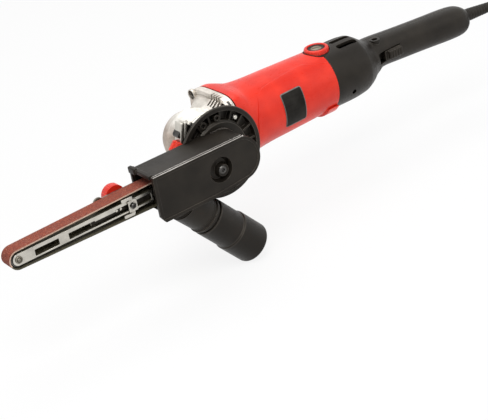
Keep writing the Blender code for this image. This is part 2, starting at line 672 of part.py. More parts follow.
# Stator, brushes and the rear bearing in its bridge, all fixed in the housing.
bush("stator_core", CORE_RADIUS + PLAY, HOUSING_BORE - GAP, CORE_LOW_X - OVERRUN, CORE_HIGH_X + OVERRUN,
     "X", DARK_STEEL, sides=BIG_SIDES)
brush_x = (COMMUTATOR_LOW_X + COMMUTATOR_HIGH_X) / 2
brush_low_y = COMMUTATOR_RADIUS + GAP
room_x = BRUSH_WIDTH / 2 + GAP
room_z = BRUSH_HEIGHT / 2 + GAP
holder_x = room_x + HOLDER_WALL
holder_z = room_z + HOLDER_WALL
holder_reach = math.sqrt((HOUSING_BORE - GAP) ** 2 - holder_z ** 2)
for side, sign in SIDES:
    brush_ends = sorted((sign * brush_low_y, sign * (brush_low_y + BRUSH_LENGTH)))
    holder_ends = sorted((sign * (brush_low_y + OVERRUN), sign * holder_reach))
    block("carbon_brush_" + side, (brush_x - BRUSH_WIDTH / 2, brush_ends[0], -BRUSH_HEIGHT / 2),
          (brush_x + BRUSH_WIDTH / 2, brush_ends[1], BRUSH_HEIGHT / 2), CARBON)
    holder = block("brush_holder_" + side, (brush_x - holder_x, holder_ends[0], -holder_z),
                   (brush_x + holder_x, holder_ends[1], holder_z), BRASS)
    cut(holder, block("brush_room_" + side, (brush_x - room_x, -HOUSING_BORE, -room_z),
                      (brush_x + room_x, HOUSING_BORE, room_z)))
bridge_seat_x = REAR_BEARING_X - GAP
bridge_low_x = bridge_seat_x - BRIDGE_LIP
turned("bearing_bridge", (
    (HOUSING_BORE - GAP, shaft_end_x), (HOUSING_BORE - GAP, bridge_low_x),
    (REAR_BEARING_RADIUS - OVERRUN, bridge_low_x), (REAR_BEARING_RADIUS - OVERRUN, bridge_seat_x),
    (REAR_BEARING_RADIUS + GAP, bridge_seat_x), (REAR_BEARING_RADIUS + GAP, shaft_end_x),
), "X", BLACK, BIG_SIDES)
bush("rear_bearing", shaft_bore, REAR_BEARING_RADIUS, REAR_BEARING_X, REAR_BEARING_X + REAR_BEARING_DEPTH,
     "X", STEEL)
rod("spindle_lock_button", LOCK_RADIUS, (0, LOCK_TOP_Y - LOCK_LENGTH, 0), (0, LOCK_TOP_Y, 0), BLACK,
    location=(LOCK_X, 0, 0))

# Rear cap and handle shells, hollowed, split on the middle plane and pierced for what they hold.
handle_hollow = loft("handle_hollow", handle_sections(HANDLE_WALL))
boot_start_x = HANDLE_END_X - HANDLE_WALL - BOOT_FLANGE_DEPTH - GAP * 2
boot_spot = (boot_start_x, 0, handle_lift(boot_start_x))
boot_hole = rod("boot_hole", BOOT_NECK + GAP, (0, 0, 0), (BOOT_LENGTH, 0, 0), sides=ROUND_SIDES,
                location=boot_spot, rotation=(0, DROOP, 0))
switch_y = -HANDLE_HALF_Y
switch_z = handle_lift(SWITCH_X)
switch_low_x = SWITCH_X - SWITCH_LENGTH / 2
switch_high_x = SWITCH_X + SWITCH_LENGTH / 2
switch_room = block("switch_room", (switch_low_x - SWITCH_TRAVEL - PLAY, switch_y - SWITCH_DEPTH,
                                    switch_z - SWITCH_HEIGHT / 2 - PLAY),
                    (switch_high_x + PLAY, switch_y + SWITCH_DEPTH, switch_z + SWITCH_HEIGHT / 2 + PLAY))
vents = []
for row in (-1, 0, 1):
    vent_y = row * VENT_STEP
    vents.append(block("vent_" + str(row), (VENT_X - VENT_LENGTH / 2, vent_y - VENT_WIDTH / 2,
                                            CAP_RADIUS / 2),
                       (VENT_X + VENT_LENGTH / 2, vent_y + VENT_WIDTH / 2, CAP_RADIUS + OVERRUN)))
handle_screws = (
    ("cap", CAP_SCREW_X, 0, CAP_SCREW_DROP, CAP_RADIUS),
    ("rear", REAR_SCREW_X, handle_lift(REAR_SCREW_X), REAR_SCREW_DROP, HANDLE_HALF_Y),
)
far = HANDLE_END_X * 2
board_high_z = BOARD_LOW_Z + BOARD_HEIGHT
rib_reach = math.sqrt((CAP_RADIUS - HANDLE_WALL / 2) ** 2 - board_high_z ** 2)
for side, sign in SIDES:
    shell = loft("handle_" + side, handle_sections(0), BLACK)
    faces = sorted((sign * GAP / 2, -sign * far))
    half = block("half_" + side, (-far, faces[0], -far), (far, faces[1], far))
    cut(shell, handle_hollow, half, dial_pocket, boot_hole, *vents)
    rib_ends = sorted((sign * (BOARD_HALF_Y + GAP), sign * rib_reach))
    board_rib = block("board_rib_" + side, (HOUSING_REAR_X + OVERRUN, rib_ends[0], BOARD_LOW_Z),
                      (CAP_SCREW_X, rib_ends[1], board_high_z))
    join(shell, board_rib)
    if sign < 0:
        cut(shell, switch_room)
    else:
        post = block("switch_post", (SWITCH_X, MODULE_HALF + GAP, switch_z - OVERRUN),
                     (SWITCH_X + OVERRUN * 2, HANDLE_HALF_Y - HANDLE_WALL / 2, switch_z + OVERRUN))
        join(shell, post)
    for tag, spot_x, middle_z, drop, reach in handle_screws:
        spot_z = middle_z - drop
        wall_y = math.sqrt((reach - HANDLE_WALL / 2) ** 2 - drop ** 2)
        bore_radius = SCREW_SHANK + GAP
        pillar_radius = HANDLE_SCREW_HEAD + GAP + SCREW_SHANK
        pillar = rod("pillar_" + tag + side, pillar_radius, (spot_x, sign * GAP / 2, spot_z),
                     (spot_x, sign * wall_y, spot_z))
        join(shell, pillar)
        if sign > 0:
            cut(shell, rod("pillar_bore_" + tag, bore_radius, (spot_x, -GAP, spot_z),
                           (spot_x, THREAD_LENGTH + GAP, spot_z)))
        else:
            seat_y = HEAD_SEAT - wall_y
            cut(shell, rod("pillar_head_" + tag, HANDLE_SCREW_HEAD + GAP, (spot_x, seat_y, spot_z),
                           (spot_x, -reach - OVERRUN, spot_z)))
            cut(shell, rod("pillar_shank_" + tag, bore_radius, (spot_x, seat_y - OVERRUN, spot_z),
                           (spot_x, OVERRUN, spot_z)))
            head_y = seat_y - GAP
            turned("handle_screw_" + tag, (
                (0, THREAD_LENGTH), (SCREW_SHANK, THREAD_LENGTH), (SCREW_SHANK, head_y),
                (HANDLE_SCREW_HEAD, head_y), (HANDLE_SCREW_HEAD, head_y - SCREW_HEAD_DEPTH),
                (0, head_y - SCREW_HEAD_DEPTH),
            ), "Y", DARK_STEEL, SMALL_SIDES, ring=False, location=(spot_x, 0, spot_z))

# Switch button and module, speed dial and its controller.
soften(block("slide_switch", (switch_low_x, switch_y - SWITCH_PROUD, switch_z - SWITCH_HEIGHT / 2),
             (switch_high_x, switch_y + SWITCH_DEPTH - GAP, switch_z + SWITCH_HEIGHT / 2), BLACK), PLAY, 1)
block("switch_module", (SWITCH_X - MODULE_LENGTH / 2, switch_y + SWITCH_DEPTH, switch_z - MODULE_HALF),
      (SWITCH_X + MODULE_LENGTH / 2, MODULE_HALF, switch_z + MODULE_HALF), BLACK)
turned("speed_dial", (
    (0, DIAL_HIGH_Z - OVERRUN), (DIAL_HUB, DIAL_HIGH_Z - OVERRUN), (DIAL_HUB, DIAL_HIGH_Z),
    (DIAL_RADIUS - PLAY, DIAL_HIGH_Z), (DIAL_RADIUS, DIAL_HIGH_Z - PLAY), (DIAL_RADIUS, DIAL_LOW_Z),
    (0, DIAL_LOW_Z),
), "Z", RED, BIG_SIDES, ring=False, location=(DIAL_X, 0, 0))
controller = block("speed_controller", (BOARD_LOW_X, -BOARD_HALF_Y, BOARD_LOW_Z),
                   (BOARD_LOW_X + BOARD_LENGTH, BOARD_HALF_Y, board_high_z), BLACK)
stem = rod("dial_stem", STEM_RADIUS, (DIAL_X, 0, BOARD_LOW_Z + OVERRUN), (DIAL_X, 0, DIAL_LOW_Z - GAP))
join(controller, stem)

# Guard disc, guard box with its dust neck, and the cover over its open side.
bore = COLLAR_RADIUS + GAP
guard_disc = turned("guard_disc", (
    (DISC_RADIUS, DISC_HIGH_Y), (DISC_RADIUS, DISC_LOW_Y - OVERRUN),
    (DISC_RADIUS - DISC_RIM, DISC_LOW_Y - OVERRUN),
    (DISC_RADIUS - DISC_RIM, DISC_LOW_Y), (bore, DISC_LOW_Y), (bore, DISC_HIGH_Y),
), "Y", BLACK, BIG_SIDES)
guard_back_y = DISC_LOW_Y - GAP
plate_back_y = GUARD_FRONT_Y + COVER_PLATE
guard_open_y = plate_back_y + GAP


def guard_outline(inset, mouth_x):
    radius = GUARD_RADIUS - inset
    return [(mouth_x, -radius)] + arc(0, 0, radius, -math.pi / 2, math.pi / 2,
                                      BIG_SIDES // 2) + [(mouth_x, radius)]


cut(guard_disc, sheet("disc_notch", [guard_outline(-GAP, GUARD_MOUTH_X)], GUARD_FRONT_Y, DISC_LOW_Y))
guard = sheet("guard_body", [guard_outline(0, GUARD_MOUTH_X)], guard_open_y, guard_back_y, BLACK)
guard_room = sheet("guard_room", [guard_outline(GUARD_WALL, GUARD_MOUTH_X - OVERRUN)],
                   guard_open_y - OVERRUN, guard_back_y - GUARD_WALL)
collar_hole = rod("collar_hole", bore, (0, guard_back_y - GUARD_WALL - OVERRUN, 0),
                  (0, guard_back_y + OVERRUN, 0), sides=ROUND_SIDES)
pipe_run = Vector((math.cos(PIPE_SLANT), 0, -math.sin(PIPE_SLANT)))
pipe_start = Vector((PIPE_START_X, BELT_Y, PIPE_START_Z))
neck_end = pipe_start + pipe_run * PIPE_OVERLAP
neck_start = neck_end - pipe_run * (NECK_LENGTH + PIPE_OVERLAP)
neck_radius = PIPE_RADIUS - PIPE_WALL - GAP
neck = rod("neck", neck_radius, neck_start, neck_end, sides=ROUND_SIDES)
neck_bore = rod("neck_bore", neck_radius - NECK_WALL, neck_start, neck_end + pipe_run * OVERRUN,
                sides=ROUND_SIDES)
join(guard, neck)
cut(guard, guard_room, neck_bore, collar_hole)
guard_cover = sheet("guard_cover", [guard_outline(0, GUARD_MOUTH_X)], GUARD_FRONT_Y, plate_back_y, BLACK)
soften(guard_cover, PLAY, 1)
screw_room = rod("cover_screw_room", COVER_SCREW_RADIUS + GAP, (COVER_SCREW_X, GUARD_FRONT_Y - OVERRUN, 0),
                 (COVER_SCREW_X, GUARD_FRONT_Y + COVER_PLATE / 2, 0), sides=ROUND_SIDES)
shank_room = rod("cover_shank_room", SCREW_SHANK + GAP, (COVER_SCREW_X, GUARD_FRONT_Y - OVERRUN, 0),
                 (COVER_SCREW_X, plate_back_y + OVERRUN, 0))
cut(guard_cover, screw_room, shank_room)
screw_back_y = GUARD_FRONT_Y + COVER_PLATE / 2 - GAP
turned("cover_screw", (
    (0, BELT_Y), (SCREW_SHANK, BELT_Y), (SCREW_SHANK, screw_back_y),
    (COVER_SCREW_RADIUS, screw_back_y), (COVER_SCREW_RADIUS, screw_back_y - PLAY * 2),
    (COVER_SCREW_RADIUS - OVERRUN, GUARD_FRONT_Y - PLAY), (0, GUARD_FRONT_Y - PLAY),
), "Y", DARK_STEEL, ROUND_SIDES, ring=False, location=(COVER_SCREW_X, 0, 0))
turned("dust_pipe", (
    (PIPE_RADIUS, 0), (PIPE_RADIUS, -PIPE_LENGTH / 2), (PIPE_END_RADIUS, -PIPE_LENGTH / 2 - OVERRUN),
    (PIPE_END_RADIUS, -PIPE_LENGTH), (PIPE_END_RADIUS - PIPE_WALL, -PIPE_LENGTH),
    (PIPE_RADIUS - PIPE_WALL, -PIPE_LENGTH / 2), (PIPE_RADIUS - PIPE_WALL, 0),
), "Y", BLACK, BIG_SIDES, location=pipe_start, rotation=(0, PIPE_SLANT - math.pi / 2, 0))

# Clamp ring on the collar, split between two ears that the bolt and its knob draw together.
clamp = bpy.data.objects.new("clamp_turn", None)
clamp.parent = root
clamp.rotation_euler = (0, CLAMP_TURN, 0)
parts.objects.link(clamp)
ring_low_y = DISC_HIGH_Y + GAP
ring_high_y = ring_low_y + RING_DEPTH
ring_middle_y = (ring_low_y + ring_high_y) / 2
clamp_ring = bush("clamp_ring", bore, COLLAR_RADIUS + RING_THICK, ring_low_y, ring_high_y, "Y", STEEL,
                  parent=clamp, sides=BIG_SIDES)
ears = block("clamp_ears", (-EAR_REACH, ring_low_y, -EAR_HALF), (-bore - GAP, ring_high_y, EAR_HALF),
             parent=clamp)
ear_slot = block("ear_slot", (-EAR_REACH - OVERRUN, ring_low_y - OVERRUN, -EAR_SLOT / 2),
                 (-bore + OVERRUN, ring_high_y + OVERRUN, EAR_SLOT / 2), parent=clamp)
bolt_top_z = EAR_HALF + GAP
bolt_hole = rod("bolt_hole", CLAMP_BOLT_RADIUS + GAP, (CLAMP_BOLT_X, ring_middle_y, -EAR_REACH),
                (CLAMP_BOLT_X, ring_middle_y, EAR_REACH), parent=clamp)
join(clamp_ring, ears)
cut(clamp_ring, ear_slot, bolt_hole)
bolt_end_z = -EAR_HALF - CLAMP_KNOB_GRIP
turned("clamp_bolt", (
    (0, bolt_top_z + SCREW_HEAD_DEPTH), (SCREW_HEAD, bolt_top_z + SCREW_HEAD_DEPTH),
    (SCREW_HEAD, bolt_top_z),
    (CLAMP_BOLT_RADIUS, bolt_top_z), (CLAMP_BOLT_RADIUS, bolt_end_z), (0, bolt_end_z),
), "Z", STEEL, SMALL_SIDES, ring=False, parent=clamp, location=(CLAMP_BOLT_X, ring_middle_y, 0))
knob_high_z = -EAR_HALF - GAP
knob_low_z = knob_high_z - CLAMP_KNOB_LENGTH
knob_bore = CLAMP_BOLT_RADIUS + GAP
turned("clamp_knob", (
    (0, bolt_end_z - GAP), (knob_bore, bolt_end_z - GAP), (knob_bore, knob_high_z),
    (CLAMP_KNOB_RADIUS - PLAY, knob_high_z), (CLAMP_KNOB_RADIUS, knob_high_z - PLAY),
    (CLAMP_KNOB_RADIUS, knob_low_z + PLAY), (CLAMP_KNOB_RADIUS - PLAY, knob_low_z), (0, knob_low_z),
), "Z", RED, SMALL_SIDES, ring=False, parent=clamp, location=(CLAMP_BOLT_X, ring_middle_y, 0))

# Arm bar in the guard, with the foot that ties it to the guard's back wall.
room_back_y = guard_back_y - GUARD_WALL
bar = block("arm_bar", (BAR_FRONT_X, BELT_Y - BAR_HALF_Y, -BAR_HALF_Z),
            (BAR_REAR_X, BELT_Y + BAR_HALF_Y, BAR_HALF_Z), STEEL)
bar_pocket = block("bar_pocket", (ARM_REAR_X + OVERRUN, BELT_Y - BAR_HALF_Y - OVERRUN,
                                  -BAR_HALF_Z + ARM_WALL / 2),
                   (GUARD_MOUTH_X + OVERRUN, BELT_Y - BAR_HALF_Y / 3, BAR_HALF_Z - ARM_WALL / 2))
guide_hole = rod("guide_hole", GUIDE_SCREW + GAP, (GUIDE_X, GUARD_FRONT_Y, 0),
                 (GUIDE_X, TRACK_LOW_Y + OVERRUN, 0))
cover_hole = rod("cover_hole", SCREW_SHANK + GAP, (COVER_SCREW_X, GUARD_FRONT_Y, 0),
                 (COVER_SCREW_X, BELT_Y + GAP, 0))
join(bar, block("bar_foot", (FOOT_LOW_X, BELT_Y, -FOOT_HALF_Z),
                (FOOT_LOW_X + FOOT_LENGTH, room_back_y - GAP, FOOT_HALF_Z)))
cut(bar, bar_pocket, guide_hole, cover_hole)

# Sliding arm: a square tube with a stop for the spring and windows in its near cheek.
arm_nose = arc(NOSE_X, 0, ARM_HALF_Z, math.pi / 2, math.pi * 3 / 2, SMALL_SIDES)
arm_outline = arm_nose + [(ARM_REAR_X, -ARM_HALF_Z), (ARM_REAR_X, ARM_HALF_Z)]
arm = sheet("sliding_arm", [arm_outline], BELT_Y - ARM_HALF_Y, BELT_Y + ARM_HALF_Y, SILVER)
room_half_y = ARM_HALF_Y - ARM_WALL
roller_room_x = NOSE_X + NOSE_RADIUS + OVERRUN
channel_top_z = ARM_HALF_Z - ARM_WALL
roller_room = block("roller_room", (NOSE_X - ARM_HALF_Z - OVERRUN, BELT_Y - room_half_y, -NOSE_RADIUS),
                    (roller_room_x, BELT_Y + room_half_y, NOSE_RADIUS))
front_room = block("front_room", (NOSE_X, BELT_Y - room_half_y, -channel_top_z),
                   (STOP_X - STOP_THICK, BELT_Y + room_half_y, channel_top_z))
rear_room = block("rear_room", (STOP_X, BELT_Y - room_half_y, -channel_top_z),
                  (ARM_REAR_X + OVERRUN, BELT_Y + room_half_y, channel_top_z))
cut(arm, roller_room, front_room, rear_room)
near_low_y = BELT_Y - ARM_HALF_Y - OVERRUN
for tag, low_x, run, half in (("front", FRONT_WINDOW_X, FRONT_WINDOW_LENGTH, WINDOW_HALF),
                              ("middle", MIDDLE_WINDOW_X, MIDDLE_WINDOW_LENGTH, WINDOW_HALF),
                              ("slot", SLOT_WINDOW_X, SLOT_WINDOW_LENGTH, SLOT_HALF)):
    cut(arm, block("window_" + tag, (low_x, near_low_y, -half), (low_x + run, BELT_Y, half)))
screw_play = GUIDE_SCREW + PLAY
guide_slot = block("guide_slot", (GUIDE_X - ARM_TRAVEL - screw_play, near_low_y, -screw_play),
                   (GUIDE_X + screw_play, BELT_Y + ARM_HALF_Y + OVERRUN, screw_play))
pin_hole = rod("pin_hole", PIN_RADIUS + GAP, (NOSE_X, near_low_y, 0),
               (NOSE_X, BELT_Y + ARM_HALF_Y + OVERRUN, 0))
cut(arm, guide_slot, pin_hole)
roller_half = room_half_y - GAP
bush("nose_roller", PIN_RADIUS + GAP, NOSE_RADIUS, BELT_Y - roller_half, BELT_Y + roller_half, "Y",
     DARK_STEEL, location=(NOSE_X, 0, 0))
pin_face_y = BELT_Y - ARM_HALF_Y - GAP
turned("nose_pin", (
    (0, BELT_Y + ARM_HALF_Y), (PIN_RADIUS, BELT_Y + ARM_HALF_Y), (PIN_RADIUS, pin_face_y),
    (PIN_HEAD, pin_face_y), (PIN_HEAD, pin_face_y - PIN_HEAD_DEPTH), (0, pin_face_y - PIN_HEAD_DEPTH),
), "Y", STEEL, SMALL_SIDES, ring=False, location=(NOSE_X, 0, 0))

# Tension spring between the arm's stop and the end of the bar.
spring_low_x = STOP_X + GAP + SPRING_WIRE
spring_run = BAR_FRONT_X - GAP - SPRING_WIRE - spring_low_x
spring_points = []
for step in range(SPRING_TURNS * SPRING_STEPS + 1):
    angle = 2 * math.pi * step / SPRING_STEPS
    along = spring_low_x + spring_run * step / (SPRING_TURNS * SPRING_STEPS)
    spring_points.append((along, BELT_Y + SPRING_RADIUS * math.cos(angle), SPRING_RADIUS * math.sin(angle)))
tube("tension_spring", spring_points, SPRING_WIRE, 1, STEEL)

# Guide plate, its screw, and the tracking plate and knob on the far side of the belt.
guide_back_y = BELT_Y - ARM_HALF_Y - GAP
guide_front_y = guide_back_y - GUIDE_THICK
tab_low_x = GUIDE_X - GUIDE_HALF_X - GUIDE_TAB
guide_outline = [
    (GUIDE_X + GUIDE_HALF_X, -GUIDE_HALF_Z), (GUIDE_X + GUIDE_HALF_X, GUIDE_HALF_Z),
    (tab_low_x, GUIDE_HALF_Z),
    (tab_low_x, GUIDE_HALF_Z - GUIDE_TAB_HEIGHT), (GUIDE_X - GUIDE_HALF_X, GUIDE_HALF_Z - GUIDE_TAB_HEIGHT),
    (GUIDE_X - GUIDE_HALF_X, GUIDE_TAB_HEIGHT - GUIDE_HALF_Z), (tab_low_x, GUIDE_TAB_HEIGHT - GUIDE_HALF_Z),
    (tab_low_x, -GUIDE_HALF_Z),
]
cut(sheet("guide_plate", [guide_outline], guide_front_y, guide_back_y, STEEL), guide_hole)
guide_head_y = guide_front_y - GAP
track_high_y = TRACK_LOW_Y + TRACK_THICK
turned("guide_screw", (
    (0, track_high_y), (GUIDE_SCREW, track_high_y), (GUIDE_SCREW, guide_head_y), (GUIDE_HEAD, guide_head_y),
    (GUIDE_HEAD, guide_head_y - GUIDE_SCREW), (0, guide_head_y - GUIDE_SCREW),
), "Y", DARK_STEEL, SMALL_SIDES, ring=False, location=(GUIDE_X, 0, 0))
track_outline = arc(TRACK_LOW_X + TRACK_HALF_Z, 0, TRACK_HALF_Z, math.pi / 2, math.pi * 3 / 2, SMALL_SIDES)
track_outline += [(TRACK_HIGH_X, -TRACK_HALF_Z), (TRACK_HIGH_X, TRACK_HALF_Z)]
tracking_plate = sheet("tracking_plate", [track_outline], TRACK_LOW_Y, track_high_y, STEEL)
stud_hole = rod("stud_hole", GUIDE_SCREW + GAP, (KNOB_X, TRACK_LOW_Y - OVERRUN, KNOB_Z),
                (KNOB_X, track_high_y + OVERRUN, KNOB_Z))
cut(tracking_plate, guide_hole, stud_hole)
knob_low_y = track_high_y + GAP
knob_high_y = knob_low_y + KNOB_DEPTH
tracking_knob = turned("tracking_knob", (
    (0, knob_high_y), (KNOB_RADIUS - PLAY, knob_high_y), (KNOB_RADIUS, knob_high_y - PLAY),
    (KNOB_RADIUS, knob_low_y), (GUIDE_SCREW, knob_low_y), (GUIDE_SCREW, TRACK_LOW_Y), (0, TRACK_LOW_Y),
), "Y", RED, BIG_SIDES, ring=False, location=(KNOB_X, 0, KNOB_Z))
for flute in range(KNOB_FLUTES):
    angle = 2 * math.pi * flute / KNOB_FLUTES
    out = KNOB_RADIUS + PLAY
    spot = (KNOB_X + out * math.cos(angle), 0, KNOB_Z + out * math.sin(angle))
    cut(tracking_knob, rod("flute_" + str(flute), PLAY * 2, (0, knob_low_y + OVERRUN, 0),
                           (0, knob_high_y + OVERRUN, 0), sides=FLUTE_SIDES, location=spot))


def belt_outline(lift):
    wheel = WHEEL_RADIUS + GAP + lift
    nose = NOSE_RADIUS + GAP + lift
    lean = math.acos((wheel - nose) / -NOSE_X)
    rear = arc(0, 0, wheel, -lean, lean, BELT_ARC_STEPS)
    return rear + arc(NOSE_X, 0, nose, lean, 2 * math.pi - lean, BELT_ARC_STEPS)


sheet("sanding_belt", [belt_outline(BELT_THICK), belt_outline(0)], BELT_Y - BELT_WIDTH / 2,
      BELT_Y + BELT_WIDTH / 2, GRIT)

# Strain relief, held by its flange inside the handle's end.
boot_neck_end = BOOT_FLANGE_DEPTH + HANDLE_WALL + PLAY * 2
turned("strain_relief", (
    (0, BOOT_LENGTH), (BOOT_TIP, BOOT_LENGTH), (BOOT_RADIUS, BOOT_LENGTH / 3), (BOOT_RADIUS, boot_neck_end),
    (BOOT_NECK, boot_neck_end), (BOOT_NECK, BOOT_FLANGE_DEPTH), (BOOT_FLANGE, BOOT_FLANGE_DEPTH),
    (BOOT_FLANGE, 0), (0, 0),
), "X", CABLE, ring=False, location=boot_spot, rotation=(0, math.pi / 2 + DROOP, 0))

# The tool stands with the middle of its box over the world's zero point and its lowest point on the floor.
graph = bpy.context.evaluated_depsgraph_get()
corners = []
for item in parts.objects:
    if item.type == "MESH":
        shape = item.evaluated_get(graph)
        corners += [shape.matrix_world @ Vector(corner) for corner in shape.bound_box]
lows = [min(corner[axis] for corner in corners) for axis in range(3)]
highs = [max(corner[axis] for corner in corners) for axis in range(3)]
root.location = (-(lows[0] + highs[0]) / 2, -(lows[1] + highs[1]) / 2, -lows[2])

# Lead: a free stretch down to the floor, a tied coil of two layers, and the plug at its end.
boot_run = Vector((math.cos(DROOP), 0, -math.sin(DROOP)))
exit_spot = root.location + Vector(boot_spot) + boot_run * (BOOT_LENGTH + GAP)
coil_low_z = TIE_THICK + GAP * 2 + CORD_RADIUS
coil_high_z = coil_low_z + COIL_LAYER
coil_outer = COIL_INNER + COIL_PITCH * COIL_TURNS / 2
coil_x = exit_spot.x + LEAD_RUN
coil_y = exit_spot.y + LEAD_SIDE + coil_outer
lead_end = Vector((coil_x - CORD_RADIUS * 2 - GAP, exit_spot.y + LEAD_SIDE, coil_low_z))


def smooth_path(spots, count):
    before_start = spots[0] - boot_run * (spots[1] - spots[0]).length
    after_end = spots[-1] + Vector(((spots[-1] - spots[-2]).length, 0, 0))
    ends = [before_start] + spots + [after_end]
    path = []
    for step in range(count + 1):
        along = step / count * (len(spots) - 1)
        first = min(int(along), len(spots) - 2)
        t = along - first
        before, start, end, after = ends[first:first + 4]
        bend = before * 2 - start * 5 + end * 4 - after
        twist = start * 3 - before - end * 3 + after
        path.append(start + ((end - before) + (bend + twist * t) * t) * t / 2)
    return path


route = []
for along, fall in LEAD_ROUTE:
    route.append(Vector((exit_spot.x + (lead_end.x - exit_spot.x) * along,
                         exit_spot.y + (lead_end.y - exit_spot.y) * fall,
                         exit_spot.z + (lead_end.z - exit_spot.z) * fall)))
lead_path = smooth_path(route, LEAD_POINTS)
tube("power_cord", lead_path, CORD_RADIUS, 2, CABLE, parent=None)

coil_path = [Vector((coil_x - CORD_RADIUS * 2, coil_y - coil_outer, coil_low_z))]
for step in range(round(COIL_TURNS * COIL_STEPS) + 1):
    turn = step / COIL_STEPS
    angle = 2 * math.pi * turn - math.pi / 2
    from_middle = turn - COIL_TURNS / 2
    radius = COIL_INNER + COIL_PITCH * abs(from_middle)
    climb = (1 + math.sin(math.pi * max(-0.5, min(0.5, from_middle * 2)))) / 2
    coil_path.append(Vector((coil_x + radius * math.cos(angle), coil_y + radius * math.sin(angle),
                             coil_low_z + COIL_LAYER * climb)))
coil_path.append(Vector((coil_x + coil_outer, coil_y + COIL_TAIL, coil_high_z)))
tube("cord_coil", coil_path, CORD_RADIUS, 1, CABLE, parent=None)

# The least gap between the coil's turns, and the cord's length, measured on the path.
samples = []
for first, second in zip(coil_path, coil_path[1:]):
    samples += [first.lerp(second, share / COIL_SAMPLES) for share in range(COIL_SAMPLES)]
half_turn = COIL_STEPS * COIL_SAMPLES // 2
apart = []
for count, one in enumerate(samples):
    apart += [(one - other).length for other in samples[count + half_turn:]]
whole = lead_path + coil_path
length = sum((second - first).length for first, second in zip(whole, whole[1:]))
print("coil gap", round(min(apart) - CORD_RADIUS * 2, 5), "cord length", round(length, 4))

# Tie round the coil's bundle, plug and pins.
tie_inner = COIL_INNER - CORD_RADIUS - PLAY
tie_outer = coil_outer + CORD_RADIUS + PLAY
tie_top_z = coil_high_z + CORD_RADIUS + PLAY
tie_hole = [(coil_x - tie_outer, GAP + TIE_THICK), (coil_x - tie_inner, GAP + TIE_THICK),
            (coil_x - tie_inner, tie_top_z), (coil_x - tie_outer, tie_top_z)]
tie_edge = [(coil_x - tie_outer - TIE_THICK, GAP), (coil_x - tie_inner + TIE_THICK, GAP),
            (coil_x - tie_inner + TIE_THICK, tie_top_z + TIE_THICK),
            (coil_x - tie_outer - TIE_THICK, tie_top_z + TIE_THICK)]
sheet("coil_tie", [tie_edge, tie_hole], coil_y - TIE_WIDTH / 2, coil_y + TIE_WIDTH / 2, BLACK, parent=None)
plug_radius = coil_high_z - GAP
plug_spot = {"parent": None, "rotation": (0, 0, math.pi / 2),
             "location": (coil_x + coil_outer, coil_y + COIL_TAIL + GAP, coil_high_z)}
plug_sections = []
for share, swell in PLUG_STATIONS:
    radius = PLUG_NECK + (plug_radius - PLUG_NECK) * swell
    plug_sections.append((PLUG_LENGTH * share, 0, radius, radius, ROUND_POWER))
plug = loft("power_plug", plug_sections, CABLE, ROUND_SIDES, **plug_spot)
for side, sign in SIDES:
    pin_y = sign * PLUG_PIN_OFFSET
    pin_start = PLUG_LENGTH - PLUG_PIN_SEAT
    cut(plug, rod("pin_seat_" + side, PLUG_PIN_RADIUS + GAP, (pin_start - GAP, pin_y, 0),
                  (PLUG_LENGTH + OVERRUN, pin_y, 0), **plug_spot))
    rod("plug_pin_" + side, PLUG_PIN_RADIUS, (pin_start, pin_y, 0),
        (PLUG_LENGTH + PLUG_PIN_LENGTH, pin_y, 0), BRASS,
        **plug_spot)
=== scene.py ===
import json
import math

import bmesh
import bpy
from mathutils import Matrix, Vector

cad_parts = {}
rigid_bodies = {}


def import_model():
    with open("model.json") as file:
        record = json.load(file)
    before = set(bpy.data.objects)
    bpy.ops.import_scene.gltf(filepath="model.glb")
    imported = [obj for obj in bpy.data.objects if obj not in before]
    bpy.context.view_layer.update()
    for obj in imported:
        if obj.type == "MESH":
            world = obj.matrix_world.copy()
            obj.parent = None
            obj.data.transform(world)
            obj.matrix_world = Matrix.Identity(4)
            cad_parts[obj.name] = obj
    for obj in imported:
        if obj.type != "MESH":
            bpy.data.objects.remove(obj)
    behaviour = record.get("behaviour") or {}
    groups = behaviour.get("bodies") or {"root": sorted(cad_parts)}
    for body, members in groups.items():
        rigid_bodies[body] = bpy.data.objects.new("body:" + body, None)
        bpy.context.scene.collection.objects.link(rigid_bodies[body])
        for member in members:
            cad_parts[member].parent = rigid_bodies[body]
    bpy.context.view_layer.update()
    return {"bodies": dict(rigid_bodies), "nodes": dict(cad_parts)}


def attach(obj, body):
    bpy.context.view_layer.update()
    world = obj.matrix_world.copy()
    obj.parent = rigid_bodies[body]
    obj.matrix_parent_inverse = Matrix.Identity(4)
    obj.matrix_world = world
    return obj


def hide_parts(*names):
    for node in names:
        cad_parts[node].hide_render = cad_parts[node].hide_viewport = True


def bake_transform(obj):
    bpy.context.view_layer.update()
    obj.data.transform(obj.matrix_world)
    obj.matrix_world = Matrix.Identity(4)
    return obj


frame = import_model()
scene = bpy.context.scene
known = set(frame["nodes"].values()) | set(frame["bodies"].values())
for spare in [item for item in bpy.data.objects if item not in known]:
    bpy.data.objects.remove(spare, do_unlink=True)
toolZero = Vector((-0.069868, 0.01955, 0.095762))  # where the spindle's axis crosses the motor's
print("frame loaded,", len(frame["nodes"]), "nodes")

# Camera, at the photograph's viewing angle.
viewSet = {"spot": (-0.618528, -0.93081, 0.590142), "turn": -31.527, "rise": 27.396, "roll": -11.198,
           "lens": 107.134, "sensor": 36.0}


